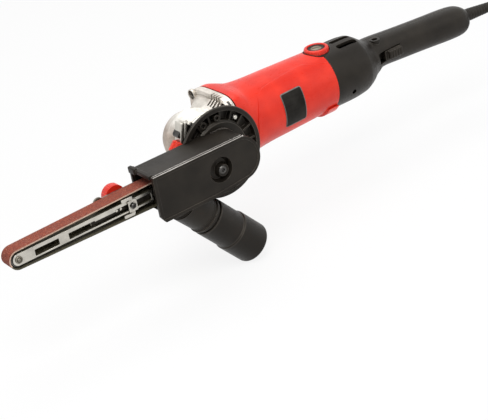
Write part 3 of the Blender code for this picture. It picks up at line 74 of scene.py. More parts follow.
def aimCamera():
    turn, rise, roll = (math.radians(viewSet[key]) for key in ("turn", "rise", "roll"))
    back = Vector((math.sin(turn) * math.cos(rise), -math.cos(turn) * math.cos(rise), math.sin(rise)))
    level = Vector((math.cos(turn), math.sin(turn), 0))
    right = level * math.cos(roll) + back.cross(level) * math.sin(roll)
    data = bpy.data.cameras.new("photoCamera")
    data.lens = viewSet["lens"]
    data.sensor_fit = "HORIZONTAL"
    data.sensor_width = viewSet["sensor"]
    data.clip_start = 0.05
    camera = bpy.data.objects.new("photoCamera", data)
    camera.matrix_world = Matrix.Translation(viewSet["spot"]) @ Matrix(
        (right, back.cross(right), back)).transposed().to_4x4()
    scene.collection.objects.link(camera)
    scene.camera = camera


aimCamera()


# One socket of a material, with the sums written as plain expressions.
class Wire:
    def __init__(self, tree, socket):
        self.tree = tree
        self.socket = socket

    def node(self, kind, settings=None, sockets=None, out=0):
        made = self.tree.nodes.new(kind)
        for key, value in (settings or {}).items():
            if key == "stops":
                ramp = made.color_ramp.elements
                while len(ramp) < len(value):
                    ramp.new(0.5)
                for stop, (place, tone) in zip(ramp, value):
                    stop.position, stop.color = place, tone
            else:
                setattr(made, key, value)
        for key, value in (sockets or {}).items():
            if isinstance(value, Wire):
                self.tree.links.new(value.socket, made.inputs[key])
            else:
                made.inputs[key].default_value = value
        return Wire(self.tree, made.outputs[out])

    def sums(self, operation, left, right):
        return self.node("ShaderNodeMath", {"operation": operation}, {0: left, 1: right})

    def __add__(self, other):
        return self.sums("ADD", self, other)

    def __sub__(self, other):
        return self.sums("SUBTRACT", self, other)

    def __rsub__(self, other):
        return self.sums("SUBTRACT", other, self)

    def __mul__(self, other):
        return self.sums("MULTIPLY", self, other)

    def __or__(self, other):
        return self.sums("MAXIMUM", self, other)

    __radd__ = __add__
    __rmul__ = __mul__

    def noise(self, scale, detail=3.0, rough=0.55):
        return self.node("ShaderNodeTexNoise", None, {"Vector": self, "Scale": scale, "Detail": detail,
                                                      "Roughness": rough})

    def stretch(self, along, turn=(0, 0, 0)):
        return self.node("ShaderNodeMapping", None, {"Vector": self, "Scale": along, "Rotation": turn})

    def span(self, low, high, start=0.0, end=1.0):
        return self.node("ShaderNodeMapRange", None, {"Value": self, "From Min": low, "From Max": high,
                                                      "To Min": start, "To Max": end})

    def blend(self, first, second):
        return self.node("ShaderNodeMix", {"data_type": "RGBA"}, {0: self, 6: first, 7: second}, 2)

    def relief(self, depth, strength=1.0):
        return self.node("ShaderNodeBump", None, {"Height": self, "Distance": depth, "Strength": strength})


def tone(red, green, blue):
    linear = []
    for value in (red, green, blue):
        share = value / 255
        linear.append(share / 12.92 if share <= 0.04045 else ((share + 0.055) / 1.055) ** 2.4)
    return (*linear, 1.0)


def newFinish(name, **fixed):
    look = bpy.data.materials.new(name)
    look.use_nodes = True
    tree = look.node_tree
    shader = tree.nodes["Principled BSDF"]
    for key, value in fixed.items():
        shader.inputs[key.replace("_", " ")].default_value = value
    coords = tree.nodes.new("ShaderNodeTexCoord")
    return look, Wire(tree, coords.outputs["Object"]), shader


def feed(shader, **wires):
    for key, wire in wires.items():
        wire.tree.links.new(wire.socket, shader.inputs[key.replace("_", " ")])


# Moulded plastic: a slow drift of tone, faint rubbed marks and a fine eroded grain.
def mouldedPlastic(name, deep, pale, rough, grain, depth, coat=0.0, shine=0.5):
    look, place, shader = newFinish(name, Coat_Weight=coat, Coat_Roughness=0.25, Specular_IOR_Level=shine,
                                    Specular_Tint=(1.0, 0.93, 0.84, 1.0))
    drift = place.noise(38, 2)
    rubbedAndSheen = place.noise(420, 5, 0.7)
    pebble = place.noise(grain, 2)
    marks = place.stretch((90, 1500, 700), (0.3, 0.2, 0.5)).noise(1.0, 4).span(0.60, 0.74)
    feed(shader, Base_Color=(drift.span(0.38, 0.66) * 0.75 + marks * 0.22).blend(deep, pale),
         Roughness=rubbedAndSheen.span(0.35, 0.7, rough - 0.06, rough + 0.09) - marks * 0.08,
         Normal=(pebble + rubbedAndSheen * 0.35).relief(depth))
    return look


# Metal: cast skin when even, brushed when the marks are drawn out along one side.
def metalFinish(name, deep, pale, rough, draw, depth, spread=0.09, rise=None):
    look, place, shader = newFinish(name, Metallic=1.0)
    drawn = place.stretch(draw).noise(1.0, 6, 0.65)
    stain = place.noise(75, 4, 0.6)
    pits = place.noise(2600, 2).span(0.60, 0.72)
    share = stain.span(0.36, 0.68) * 0.6 + drawn.span(0.3, 0.7) * 0.4 - pits * 0.2
    colour = share.blend(deep, pale)
    if rise:  # painted highlight: lighter on the upper side, most of all towards the front
        height = place.node("ShaderNodeSeparateXYZ", None, {0: place}, 2) + stain * 0.006
        ahead = place.node("ShaderNodeSeparateXYZ", None, {0: place}, 0).span(*rise["ahead"])
        colour = (height.span(*rise["height"]) * ahead).blend(colour, share.blend(*rise["highlightTones"]))
    feed(shader, Base_Color=colour, Roughness=drawn.span(0.3, 0.7, rough - spread, rough + spread) + stain * 0.05,
         Normal=(drawn + pits * 0.4).relief(depth))
    return look


# Abrasive: packed grains bound in resin, each grain its own tone, with worn pale tips.
def gritFinish():
    look, place, shader = newFinish("gritCloth")
    grain, cell = [place.node("ShaderNodeTexVoronoi", None, {"Vector": place, "Scale": 2300.0}, out)
                   for out in (0, 1)]
    lot = cell.node("ShaderNodeSeparateColor", None, {0: cell})
    clump = place.noise(330, 4, 0.65)
    worn = place.noise(48, 3).span(0.42, 0.68)
    base = (clump.span(0.3, 0.7) * 0.55 + lot * 0.45).blend(tone(92, 37, 25), tone(157, 73, 51))
    tips = lot.span(0.80, 0.97) * (0.28 + worn * 0.44)
    feed(shader, Base_Color=tips.blend(base, tone(202, 138, 110)), Roughness=clump.span(0.3, 0.7, 0.72, 0.94),
         Normal=(lot * 0.6 - grain * 0.9 + clump * 0.5).relief(0.00028))
    return look


# Belt backing: plain woven cotton, two sets of threads over and under each other.
def backingFinish(name, deep, pale):
    look, place, shader = newFinish(name)
    warp, weft = [place.node("ShaderNodeTexWave", {"bands_direction": side},
                             {"Vector": place, "Scale": 520.0, "Distortion": 0.6}) for side in "XY"]
    dust = place.noise(140, 4)
    thread = warp | weft
    feed(shader, Base_Color=(thread * 0.5 + dust.span(0.35, 0.7) * 0.5).blend(deep, pale),
         Roughness=dust.span(0.3, 0.7, 0.78, 0.95), Normal=thread.relief(0.00018))
    return look


finishes = {
    "red_plastic": mouldedPlastic("redShell", tone(207, 33, 16), tone(232, 52, 31), 0.33, 3600, 0.00006, 0.1, 0.28),
    "black_plastic": mouldedPlastic("blackShell", tone(21, 18, 15), tone(38, 34, 29), 0.38, 3000, 0.00010, 0.0, 0.22),
    "cast_aluminium": metalFinish("castSkin", tone(136, 123, 112), tone(204, 189, 176), 0.47, (520, 520, 520),
                                  0.00012,
                                  # rise: a painted highlight, lighter towards the top and the front end
                                  rise={"height": (0.1125, 0.1240), "ahead": (-0.061, -0.051, 1.0, 0.45),
                                        "highlightTones": (tone(228, 225, 216), tone(255, 254, 249))}),
    "bright_steel": metalFinish("brushedSteel", tone(176, 172, 164), tone(222, 218, 208), 0.33,
                                (60, 1900, 2300), 0.00005),
    "dark_steel": metalFinish("oiledSteel", tone(58, 57, 56), tone(104, 102, 99), 0.36,
                              (700, 700, 700), 0.00006),
    "copper": metalFinish("copperBars", tone(176, 104, 70), tone(216, 140, 98), 0.34, (900, 200, 200), 0.00005),
    "brass": metalFinish("brassSheet", tone(176, 142, 74), tone(214, 182, 110), 0.34, (80, 1500, 1500), 0.00004),
    "carbon": mouldedPlastic("brushCarbon", tone(24, 24, 25), tone(46, 46, 48), 0.62, 4200, 0.00006),
    "drive_rubber": mouldedPlastic("wheelRubber", tone(24, 22, 20), tone(42, 40, 36), 0.72, 1700, 0.00014, 0.0, 0.3),
    "cable_rubber": mouldedPlastic("leadRubber", tone(20, 18, 16), tone(38, 35, 31), 0.48, 2400, 0.00008, 0.0, 0.25),
    "abrasive_cloth": gritFinish(),
}
# Lighter skin for the rounded edges of the mouldings: partly rubbed wear, partly a painted highlight along the edges.
rubbedAndSheen = {
    "black_plastic": mouldedPlastic("blackRubbedAndHighlit", tone(36, 32, 27), tone(68, 62, 55), 0.34, 3000, 0.00004, 0.0, 0.4),
    "red_plastic": mouldedPlastic("redRubbedAndHighlit", tone(220, 52, 39), tone(244, 98, 80), 0.30, 3600, 0.00003),
}
backing = backingFinish("beltBacking", tone(48, 45, 33), tone(92, 86, 66))
beltEdge = backingFinish("beltEdge", tone(176, 140, 120), tone(226, 198, 178))
dialFace = mouldedPlastic("dialFace", tone(118, 108, 93), tone(164, 153, 136), 0.5, 2600, 0.00005)
plateFace = metalFinish("plateFace", tone(30, 29, 27), tone(54, 52, 49), 0.42, (60, 1500, 1500), 0.00003)
plateRim = metalFinish("plateRim", tone(96, 94, 91), tone(132, 130, 127), 0.40, (200, 900, 900), 0.00003)
# Pale tone for strips on the guard lid's edges: a painted highlight.
lidHighlightTone = mouldedPlastic("lidHighlightTone", tone(164, 158, 152), tone(222, 217, 211), 0.30, 2400, 0.00004)
dullSteel = metalFinish("dullSteel", tone(96, 91, 82), tone(150, 144, 132), 0.46, (500, 500, 500), 0.00008)
# Darker steel for the arm's inside, top and bottom: painted shade under the belt.
armShadeSteel = metalFinish("armShadeSteel", tone(92, 87, 72), tone(150, 143, 122), 0.50, (400, 400, 400), 0.00006)
for part in frame["nodes"].values():
    for place in part.material_slots:
        slotName = place.material.name.split(".")[0] if place.material else ""
        place.material = finishes.get(slotName, finishes["dark_steel"])
print("finishes mixed")


# Studio: soft light from above and a white surround.
studioSet = {"sky": 0.42, "floorTone": 0.80, "floorLift": 0.86, "floorHalf": 6.0, "aim": (0, 0, 0.09),
             "lamps": (("key", (-0.45, -0.65, 1.45), 0.9, 15.0), ("fill", (0.9, -0.9, 0.8), 1.3, 3.0),
                       ("top", (0.25, 0.35, 1.5), 1.0, 10.0))}


# The rays that show the surround itself, not its light on the tool.
def seenDirectly(tree):
    path = tree.nodes.new("ShaderNodeLightPath")
    seen = Wire(tree, path.outputs["Is Camera Ray"])
    for ray in ("Is Glossy Ray", "Is Transmission Ray"):
        seen = seen | Wire(tree, path.outputs[ray])
    return seen


def lightStudio():
    scene.view_settings.view_transform = "Standard"
    world = bpy.data.worlds.new("studio")
    scene.world = world
    world.use_nodes = True
    tree = world.node_tree
    tree.nodes.clear()
    seen = seenDirectly(tree)
    dim = seen.node("ShaderNodeBackground", None, {"Color": (1, 1, 1, 1), "Strength": studioSet["sky"]})
    white = seen.node("ShaderNodeBackground", None, {"Color": (1, 1, 1, 1), "Strength": 1.0})
    both = seen.node("ShaderNodeMixShader", None, {0: seen, 1: dim, 2: white})
    tree.links.new(both.socket, tree.nodes.new("ShaderNodeOutputWorld").inputs[0])
    for name, spot, size, power in studioSet["lamps"]:
        data = bpy.data.lights.new(name, "AREA")
        data.shape = "DISK"
        data.size = size
        data.energy = power
        lamp = bpy.data.objects.new(name, data)
        lamp.matrix_world = Matrix.Translation(spot) @ (Vector(spot) - Vector(studioSet["aim"])).to_track_quat(
            "Z", "Y").to_matrix().to_4x4()
        scene.collection.objects.link(lamp)


def layFloor():
    form = bmesh.new()
    bmesh.ops.create_grid(form, x_segments=1, y_segments=1, size=studioSet["floorHalf"])
    mesh = bpy.data.meshes.new("floor")
    form.to_mesh(mesh)
    form.free()
    floor = bpy.data.objects.new("floor", mesh)
    scene.collection.objects.link(floor)
    look, _, shader = newFinish("paleFloor")
    tree = look.node_tree
    seen = seenDirectly(tree)
    shade = studioSet["floorTone"]
    matt = seen.node("ShaderNodeBsdfDiffuse", None, {"Color": (shade, shade, shade, 1)})
    glow = seen.node("ShaderNodeEmission", None, {"Color": (1, 1, 1, 1), "Strength": 1.0})
    both = seen.node("ShaderNodeMixShader", None, {0: seen * studioSet["floorLift"], 1: matt, 2: glow})
    tree.nodes.remove(shader)
    tree.links.new(both.socket, tree.nodes["Material Output"].inputs[0])
    mesh.materials.append(look)


lightStudio()
layFloor()
print("studio set")


# Shapes every piece starts from, in the tool's own metres.
def brick(low, high, round=0.0, along=None, steps=4):
    form = bmesh.new()
    bmesh.ops.create_cube(form, size=1.0)
    bmesh.ops.scale(form, vec=Vector(high) - Vector(low), verts=form.verts)
    bmesh.ops.translate(form, vec=(Vector(high) + Vector(low)) / 2, verts=form.verts)
    if round:
        edges = form.edges[:]
        if along is not None:  # only the edges that run along one axis
            edges = [e for e in edges if abs((e.verts[0].co - e.verts[1].co).normalized()[along]) > 0.9]
        bmesh.ops.bevel(form, geom=edges, offset=round, segments=steps, profile=0.5, affect="EDGES", material=-1)
    return form


def rod(radius, start, end, sides=48, endRadius=None):
    form = bmesh.new()
    run = Vector(end) - Vector(start)
    bmesh.ops.create_cone(form, cap_ends=True, segments=sides, radius1=radius,
                          radius2=radius if endRadius is None else endRadius, depth=run.length)
    turn = run.to_track_quat("Z", "Y").to_matrix().to_4x4()
    bmesh.ops.transform(form, matrix=Matrix.Translation((Vector(start) + Vector(end)) / 2) @ turn, verts=form.verts)
    return form


axisTurns = {"X": Matrix.Rotation(math.pi / 2, 4, "Y"), "Y": Matrix.Rotation(-math.pi / 2, 4, "X"),
             "Z": Matrix.Identity(4)}


# A profile of (radius, along) spun about an axis; a ring closes on itself, and a bar runs to the axis.
def lathe(points, axis, at=(0, 0, 0), sides=96, ring=False, turn=None):
    form = bmesh.new()
    spots = [form.verts.new((radius, 0, along)) for radius, along in points]
    for first, second in zip(spots, spots[1:] + (spots[:1] if ring else [])):
        form.edges.new((first, second))
    bmesh.ops.spin(form, geom=form.verts[:] + form.edges[:], cent=(0, 0, 0), axis=(0, 0, 1), angle=2 * math.pi,
                   steps=sides, use_merge=True, use_duplicate=False)
    bmesh.ops.remove_doubles(form, verts=form.verts, dist=0.0000005)
    bmesh.ops.recalc_face_normals(form, faces=form.faces)
    bmesh.ops.transform(form, matrix=Matrix.Translation(at) @ (turn or axisTurns[axis]), verts=form.verts)
    return form


def easeRows(rows, steps):
    ends = [rows[0]] + list(rows) + [rows[-1]]
    out = []
    for count in range(len(rows) - 1):
        before, start, end, after = ends[count:count + 4]
        for step in range(steps):
            t = step / steps
            row = []
            for a, b, c, d in zip(before, start, end, after):
                row.append(b + ((c - a) + ((2 * a - 5 * b + 4 * c - d) + (3 * b - a - 3 * c + d) * t) * t) * t / 2)
            out.append(tuple(row))
    return out + [tuple(rows[-1])]


def newVerts(grown):
    return [item for item in grown if isinstance(item, bmesh.types.BMVert)]


# The upright edges at a block's front end.
def endEdges(block, limit):
    return [edge for edge in block.edges if all(vert.co.x < limit for vert in edge.verts)
            and abs(edge.verts[0].co.y - edge.verts[1].co.y) > 0.001]


# Rounded sections (x, lift, half width, half height, squareness) drawn out along the tool.
def loft(rows, sides=96):
    form = bmesh.new()
    bmesh.ops.create_circle(form, segments=sides, radius=1.0)
    bmesh.ops.transform(form, matrix=axisTurns["X"], verts=form.verts)
    edges = form.edges[:]
    bmesh.ops.edgeloop_fill(form, edges=edges)
    for _ in rows[1:]:
        grown = bmesh.ops.extrude_edge_only(form, edges=edges)["geom"]
        fresh = set(newVerts(grown))
        edges = [item for item in grown if isinstance(item, bmesh.types.BMEdge) and set(item.verts) <= fresh]
        bmesh.ops.translate(form, vec=(1, 0, 0), verts=list(fresh))
    bmesh.ops.edgeloop_fill(form, edges=edges)
    for vert in form.verts:
        x, lift, halfY, halfZ, power = rows[round(vert.co.x)]
        swell = (abs(vert.co.y) ** power + abs(vert.co.z) ** power) ** (-1 / power)
        vert.co = (x, vert.co.y * swell * halfY, lift + vert.co.z * swell * halfZ)
    bmesh.ops.recalc_face_normals(form, faces=form.faces)
    return form


# An outline in X and Z given a thickness in Y.
def slab(outline, low, high):
    form = bmesh.new()
    face = form.faces.new([form.verts.new((x, low, z)) for x, z in outline])
    grown = bmesh.ops.extrude_face_region(form, geom=[face])["geom"]
    bmesh.ops.translate(form, vec=(0, high - low, 0), verts=newVerts(grown))
    bmesh.ops.recalc_face_normals(form, faces=form.faces)
    return form


horseshoeEnd = {"start": -0.030, "share": 0.862}


# A half round about the spindle with a straight run to the guard's mouth.
def horseshoe(radius, mouth, low, high, sides=96):
    form = bmesh.new()
    bmesh.ops.create_circle(form, cap_ends=True, segments=sides, radius=radius)
    bmesh.ops.transform(form, matrix=Matrix.Rotation(math.pi / 2, 4, "X"), verts=form.verts)
    bmesh.ops.bisect_plane(form, geom=form.verts[:] + form.edges[:] + form.faces[:], dist=0.0000001,
                           plane_co=(0, 0, 0), plane_no=(1, 0, 0), clear_inner=True)
    edge = [item for item in form.edges if all(abs(vert.co.x) < 0.000001 for vert in item.verts)]
    grown = bmesh.ops.extrude_edge_only(form, edges=edge)["geom"]
    bmesh.ops.translate(form, vec=(mouth, 0, 0), verts=newVerts(grown))
    bmesh.ops.dissolve_limit(form, angle_limit=0.001, verts=form.verts, edges=form.edges)
    bmesh.ops.bisect_plane(form, geom=form.verts[:] + form.edges[:] + form.faces[:], dist=0.0000001,
                           plane_co=(horseshoeEnd["start"], 0, 0), plane_no=(1, 0, 0))
    for vert in form.verts:  # the closed end is drawn in, most of all below
        if vert.co.x > horseshoeEnd["start"] + 0.00001:
            vert.co.z *= horseshoeEnd["share"] if vert.co.z < 0 else 1
            vert.co.x *= horseshoeEnd["share"] if vert.co.x > 0 else 1
    bmesh.ops.translate(form, vec=(0, low, 0), verts=form.verts)
    grown = bmesh.ops.extrude_face_region(form, geom=form.faces[:])["geom"]
    bmesh.ops.translate(form, vec=(0, high - low, 0), verts=newVerts(grown))
    bmesh.ops.recalc_face_normals(form, faces=form.faces)
    return form


def gather(*forms):
    whole = bmesh.new()
    for form in forms:
        mesh = bpy.data.meshes.new("part")
        form.to_mesh(mesh)
        form.free()
        whole.from_mesh(mesh)
        bpy.data.meshes.remove(mesh)
    return whole


def melt(piece):
    form = bmesh.new()
    form.from_mesh(piece.data)
    bpy.data.objects.remove(piece)
    return form


def turned(form, matrix):
    bmesh.ops.transform(form, matrix=matrix, verts=form.verts)
    return form


def ringOf(count, reach, make):
    return gather(*[turned(make(), Matrix.Rotation(2 * math.pi * step / count, 4, "Z") @ Matrix.Translation(
        (reach, 0, 0))) for step in range(count)])


def work(form, name="work"):
    mesh = bpy.data.meshes.new(name)
    form.to_mesh(mesh)
    form.free()
    piece = bpy.data.objects.new(name, mesh)
    scene.collection.objects.link(piece)
    return piece


mergeGap = 0.000002


def carve(piece, mode, *forms):
    tools = [work(form) for form in forms]
    for tool in tools:
        step = piece.modifiers.new("carve", "BOOLEAN")
        step.object = tool
        step.operation = mode
        step.solver = "EXACT"
    graph = bpy.context.evaluated_depsgraph_get()
    mesh = bpy.data.meshes.new_from_object(piece.evaluated_get(graph), depsgraph=graph)
    piece.modifiers.clear()
    form = bmesh.new()
    form.from_mesh(mesh)
    bmesh.ops.remove_doubles(form, verts=form.verts, dist=mergeGap)
    bmesh.ops.dissolve_degenerate(form, edges=form.edges, dist=mergeGap)
    form.to_mesh(mesh)
    form.free()
    old = piece.data
    piece.data = mesh
    bpy.data.meshes.remove(old)
    for tool in tools:
        old = tool.data
        bpy.data.objects.remove(tool)
        bpy.data.meshes.remove(old)
    return piece


def cut(piece, *forms):
    return carve(piece, "DIFFERENCE", *forms)


def join(piece, *forms):
    return carve(piece, "UNION", *forms)


# Gives a piece its name, finish, softened edges and the body it rides on.
def settle(piece, name, body, slotName, nodes=(), edge=0.0004, steps=2, angle=32, look=None, onTool=True):
    mesh = piece.data
    piece.name = mesh.name = name
    mesh.materials.clear()
    mesh.materials.append(look or finishes[slotName])
    mesh.polygons.foreach_set("material_index", [0] * len(mesh.polygons))
    if onTool:
        mesh.transform(Matrix.Translation(toolZero))
    mesh.shade_smooth()
    mesh.set_sharp_from_angle(angle=math.radians(angle))
    if edge:
        soft = piece.modifiers.new("softEdge", "BEVEL")
        soft.width = edge
        soft.segments = steps
        soft.limit_method = "ANGLE"
        soft.angle_limit = math.radians(angle)
        soft.use_clamp_overlap = False
        soft.harden_normals = True
        # bevelled edges take the lighter edge skin: rubbed wear with a painted highlight
        if look is None and slotName in rubbedAndSheen:
            mesh.materials.append(rubbedAndSheen[slotName])
            soft.material = 1
    if body:  # a piece that bends across a joint is left without a body
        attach(piece, body)
    if nodes:
        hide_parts(*nodes)
    return piece


# Lead: from the strain relief down to the floor, then a tied coil of two layers and the plug.
leadSet = {"exit": (0.27612, 0.01955, 0.08914), "radius": 0.0035, "length": 2.0209, "ease": 3,
           "route": ((0.27612, 0.01955, 0.08914), (0.2865, 0.01908, 0.08833), (0.29655, 0.01785, 0.08654),
                     (0.30598, 0.01525, 0.08258), (0.31452, 0.01174, 0.07723), (0.32181, 0.00755, 0.07084),
                     (0.32771, 0.00278, 0.06357), (0.33149, -0.00248, 0.05556), (0.33447, -0.00795, 0.04722),
                     (0.33746, -0.01342, 0.03888), (0.34124, -0.01867, 0.03087), (0.34714, -0.02346, 0.02358),
                     (0.35443, -0.02764, 0.01721), (0.36296, -0.03105, 0.012), (0.3724, -0.03358, 0.00815),
                     (0.38244, -0.03489, 0.00616), (0.39282, -0.03545, 0.0053)),
           "coil": (0.40012, 0.01866), "inner": 0.0262, "outer": 0.05411, "pitch": 0.0077, "layer": 0.0077,
           "turns": 7.25, "stepsPerTurn": 36, "low": 0.0053, "tail": 0.021}


def makeLead():
    coilX, coilY = leadSet["coil"]
    points = easeRows(leadSet["route"], leadSet["ease"])
    middle = leadSet["turns"] / 2
    for step in range(round(leadSet["turns"] * leadSet["stepsPerTurn"]) + 1):
        turn = step / leadSet["stepsPerTurn"]
        angle = 2 * math.pi * turn - math.pi / 2
        radius = leadSet["inner"] + leadSet["pitch"] * abs(turn - middle)
        climb = (1 + math.sin(math.pi * max(-0.5, min(0.5, (turn - middle) * 2)))) / 2
        points.append((coilX + radius * math.cos(angle), coilY + radius * math.sin(angle),
                       leadSet["low"] + leadSet["layer"] * climb))
    points.append((coilX + leadSet["outer"], coilY + leadSet["tail"], leadSet["low"] + leadSet["layer"]))
    data = bpy.data.curves.new("supplyLead", "CURVE")
    data.dimensions = "3D"
    data.bevel_depth = leadSet["radius"]
    data.bevel_resolution = 4
    data.use_fill_caps = True
    line = data.splines.new("POLY")
    line.points.add(len(points) - 1)
    for knot, spot in zip(line.points, points):
        knot.co = (*spot, 1)
    line.use_smooth = True
    lead = bpy.data.objects.new("supplyLead", data)
    data.materials.append(finishes["cable_rubber"])
    scene.collection.objects.link(lead)
    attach(lead, "tool")
    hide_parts("power_cord", "cord_coil")
    return lead


tieSet = {"thick": 0.0012, "width": 0.005, "low": 0.0003, "inner": 0.0221, "outer": 0.05821, "top": 0.0171}


def makeTie():
    coilX, coilY = leadSet["coil"]
    wall, half = tieSet["thick"], tieSet["width"] / 2
    band = work(brick((coilX - tieSet["outer"] - wall, coilY - half, tieSet["low"]),
                      (coilX - tieSet["inner"] + wall, coilY + half, tieSet["top"] + wall), 0.0035, 1, 6))
    cut(band, brick((coilX - tieSet["outer"], coilY - half * 2, tieSet["low"] + wall),
                    (coilX - tieSet["inner"], coilY + half * 2, tieSet["top"]), 0.0024, 1, 6))
    join(band, brick((coilX - 0.0420, coilY - half * 1.5, tieSet["top"] + wall / 2),
                     (coilX - 0.0345, coilY + half * 1.5, tieSet["top"] + wall * 1.9), 0.0004))
    return settle(band, "coilTie", "tool", "black_plastic", ("coil_tie",), 0.0002, onTool=False)


plugSet = {"at": (0.45424, 0.03996, 0.0130), "length": 0.046, "neck": 0.0048, "radius": 0.0127,
           "pin": 0.0024, "pinLength": 0.019, "pinSeat": 0.006, "pinOffset": 0.0095}


def makePlug():
    place = Matrix.Translation(plugSet["at"]) @ Matrix.Rotation(math.pi / 2, 4, "Z")
    length, neck, radius = plugSet["length"], plugSet["neck"], plugSet["radius"]
    rows = easeRows([(0, 0, neck, neck, 2.0), (length * 0.12, 0, neck * 1.02, neck * 1.02, 2.0),
                     (length * 0.30, 0, neck * 1.3, neck * 1.3, 2.0),
                     (length * 0.52, 0, radius * 0.97, radius * 0.97, 2.0),
                     (length * 0.62, 0, radius, radius, 2.0), (length * 0.96, 0, radius, radius, 2.0),
                     (length, 0, radius * 0.95, radius * 0.95, 2.0)], 4)
    plug = work(turned(loft(rows, 64), place))
    grooves = [turned(lathe(((neck * 1.6, x), (neck * 0.94, x), (neck * 0.94, x + 0.0014), (neck * 1.6, x + 0.0014)),
                            "X", sides=48, ring=True), place) for x in (0.0027, 0.0053, 0.0079)]
    grips = [turned(brick((length * 0.58 + step * 0.004, sign * radius - 0.0012, -0.006),
                          (length * 0.58 + step * 0.004 + 0.0016, sign * radius + 0.0012, 0.006)), place)
             for step in range(4) for sign in (-1, 1)]
    seats = [turned(rod(plugSet["pin"] + 0.0003, (length - plugSet["pinSeat"], sign * plugSet["pinOffset"], 0),
                        (length + 0.01, sign * plugSet["pinOffset"], 0)), place) for sign in (-1, 1)]
    cut(plug, *grooves, *grips, *seats)
    made = [settle(plug, "mainsPlug", "tool", "cable_rubber", ("power_plug",), 0.0002, onTool=False)]
    for tag, sign in (("left", -1), ("right", 1)):
        start = length - plugSet["pinSeat"] + 0.0003
        end, r = start + plugSet["pinLength"], plugSet["pin"]
        pin = lathe(((0, start), (r, start), (r, end - r * 0.8), (r * 0.72, end - r * 0.25), (0, end)), "X",
                    (0, sign * plugSet["pinOffset"], 0), 32)
        made.append(settle(work(turned(pin, place)), "plugPin" + tag.title(), "tool", "bright_steel",
                           ("plug_pin_" + tag,), 0.0002, onTool=False))
    return made


lead = makeLead()
leadEnds = [makeTie()] + makePlug()
print("lead laid")


# Strain relief: a flange in the handle, a neck and a ribbed taper.
bootSet = {"start": (0.3018, -0.00353), "droop": 4.0, "length": 0.044, "neck": 0.005, "radius": 0.0058,
           "tip": 0.0044, "flange": 0.0078, "flangeDepth": 0.003, "neckEnd": 0.0068, "ribs": 8}


def makeBoot():
    b = bootSet
    points = [(0, 0), (b["flange"], 0), (b["flange"], b["flangeDepth"]), (b["neck"], b["flangeDepth"]),
              (b["neck"], b["neckEnd"]), (b["radius"], b["neckEnd"]), (b["radius"], 0.0125)]
    pitch = (b["length"] - 0.0150) / b["ribs"]
    for rib in range(b["ribs"]):
        x = 0.0125 + pitch * rib
        wide = b["radius"] + (b["tip"] - b["radius"]) * rib / b["ribs"]
        points += [(wide - 0.0003, x + 0.0003), (wide - 0.0003, x + pitch * 0.42), (wide, x + pitch * 0.5),
                   (wide, x + pitch)]
    points += [(b["tip"], b["length"] - 0.0002), (b["tip"] - 0.0003, b["length"]), (0, b["length"])]
    spin = Matrix.Rotation(math.radians(b["droop"]), 4, "Y") @ axisTurns["X"]
    boot = work(lathe(points, "X", (b["start"][0], 0, b["start"][1]), 48, turn=spin))
    settle(boot, "leadBoot", "tool", "cable_rubber", ("strain_relief",), 0.0002)


makeBoot()

# Motor housing: squared flange that melts into a tapering barrel, a rear pad and a pocket for the dial.
housingSet = {"rows": ((0.0292, 0, 0.0305, 0.0328, 4.5), (0.0348, 0, 0.0305, 0.0328, 4.2),
                       (0.0405, 0, 0.0305, 0.0318, 3.2), (0.0470, 0, 0.0304, 0.0306, 2.3),
                       (0.0608, 0, 0.0300, 0.0300, 2.0), (0.0850, 0, 0.02925, 0.02925, 2.0),
                       (0.1100, 0, 0.0285, 0.0285, 2.0), (0.1350, 0, 0.0277, 0.0277, 2.0)),
              "bore": 0.0248, "padRadius": 0.0302, "padX": (0.1240, 0.1349), "padTop": -0.0180,
              "panel": ((0.0435, -0.0119), (0.0465, 0.0057), (0.0500, 0.0140), (0.0545, 0.0207), (0.0628, 0.0247),
                        (0.0743, 0.0256), (0.0867, 0.0262), (0.0998, 0.0266), (0.1128, 0.0263), (0.1214, 0.0236),
                        (0.1346, 0.0215), (0.1346, -0.0170), (0.1180, -0.0170), (0.1120, -0.0225), (0.0500, -0.0235),
                        (0.0440, -0.0200)), "panelRise": 0.0005,
              "plateX": (0.0750, 0.0960), "plateZ": (-0.0130, 0.0155), "rimWidth": 0.0008}
dialSet = {"x": 0.1375, "radius": 0.011, "low": 0.0255, "high": 0.0303, "hub": 0.0076, "face": 0.0051, "teeth": 44,
           "play": 0.0006, "tongue": 0.0121}


def dialPocket():
    return rod(dialSet["radius"] + dialSet["play"], (dialSet["x"], 0, dialSet["low"] - 0.0006),
               (dialSet["x"], 0, dialSet["high"] + 0.003), 64)


def grownRows(rows, grow):
    return [(x, lift, halfY + grow, halfZ + grow, power) for x, lift, halfY, halfZ, power in rows]


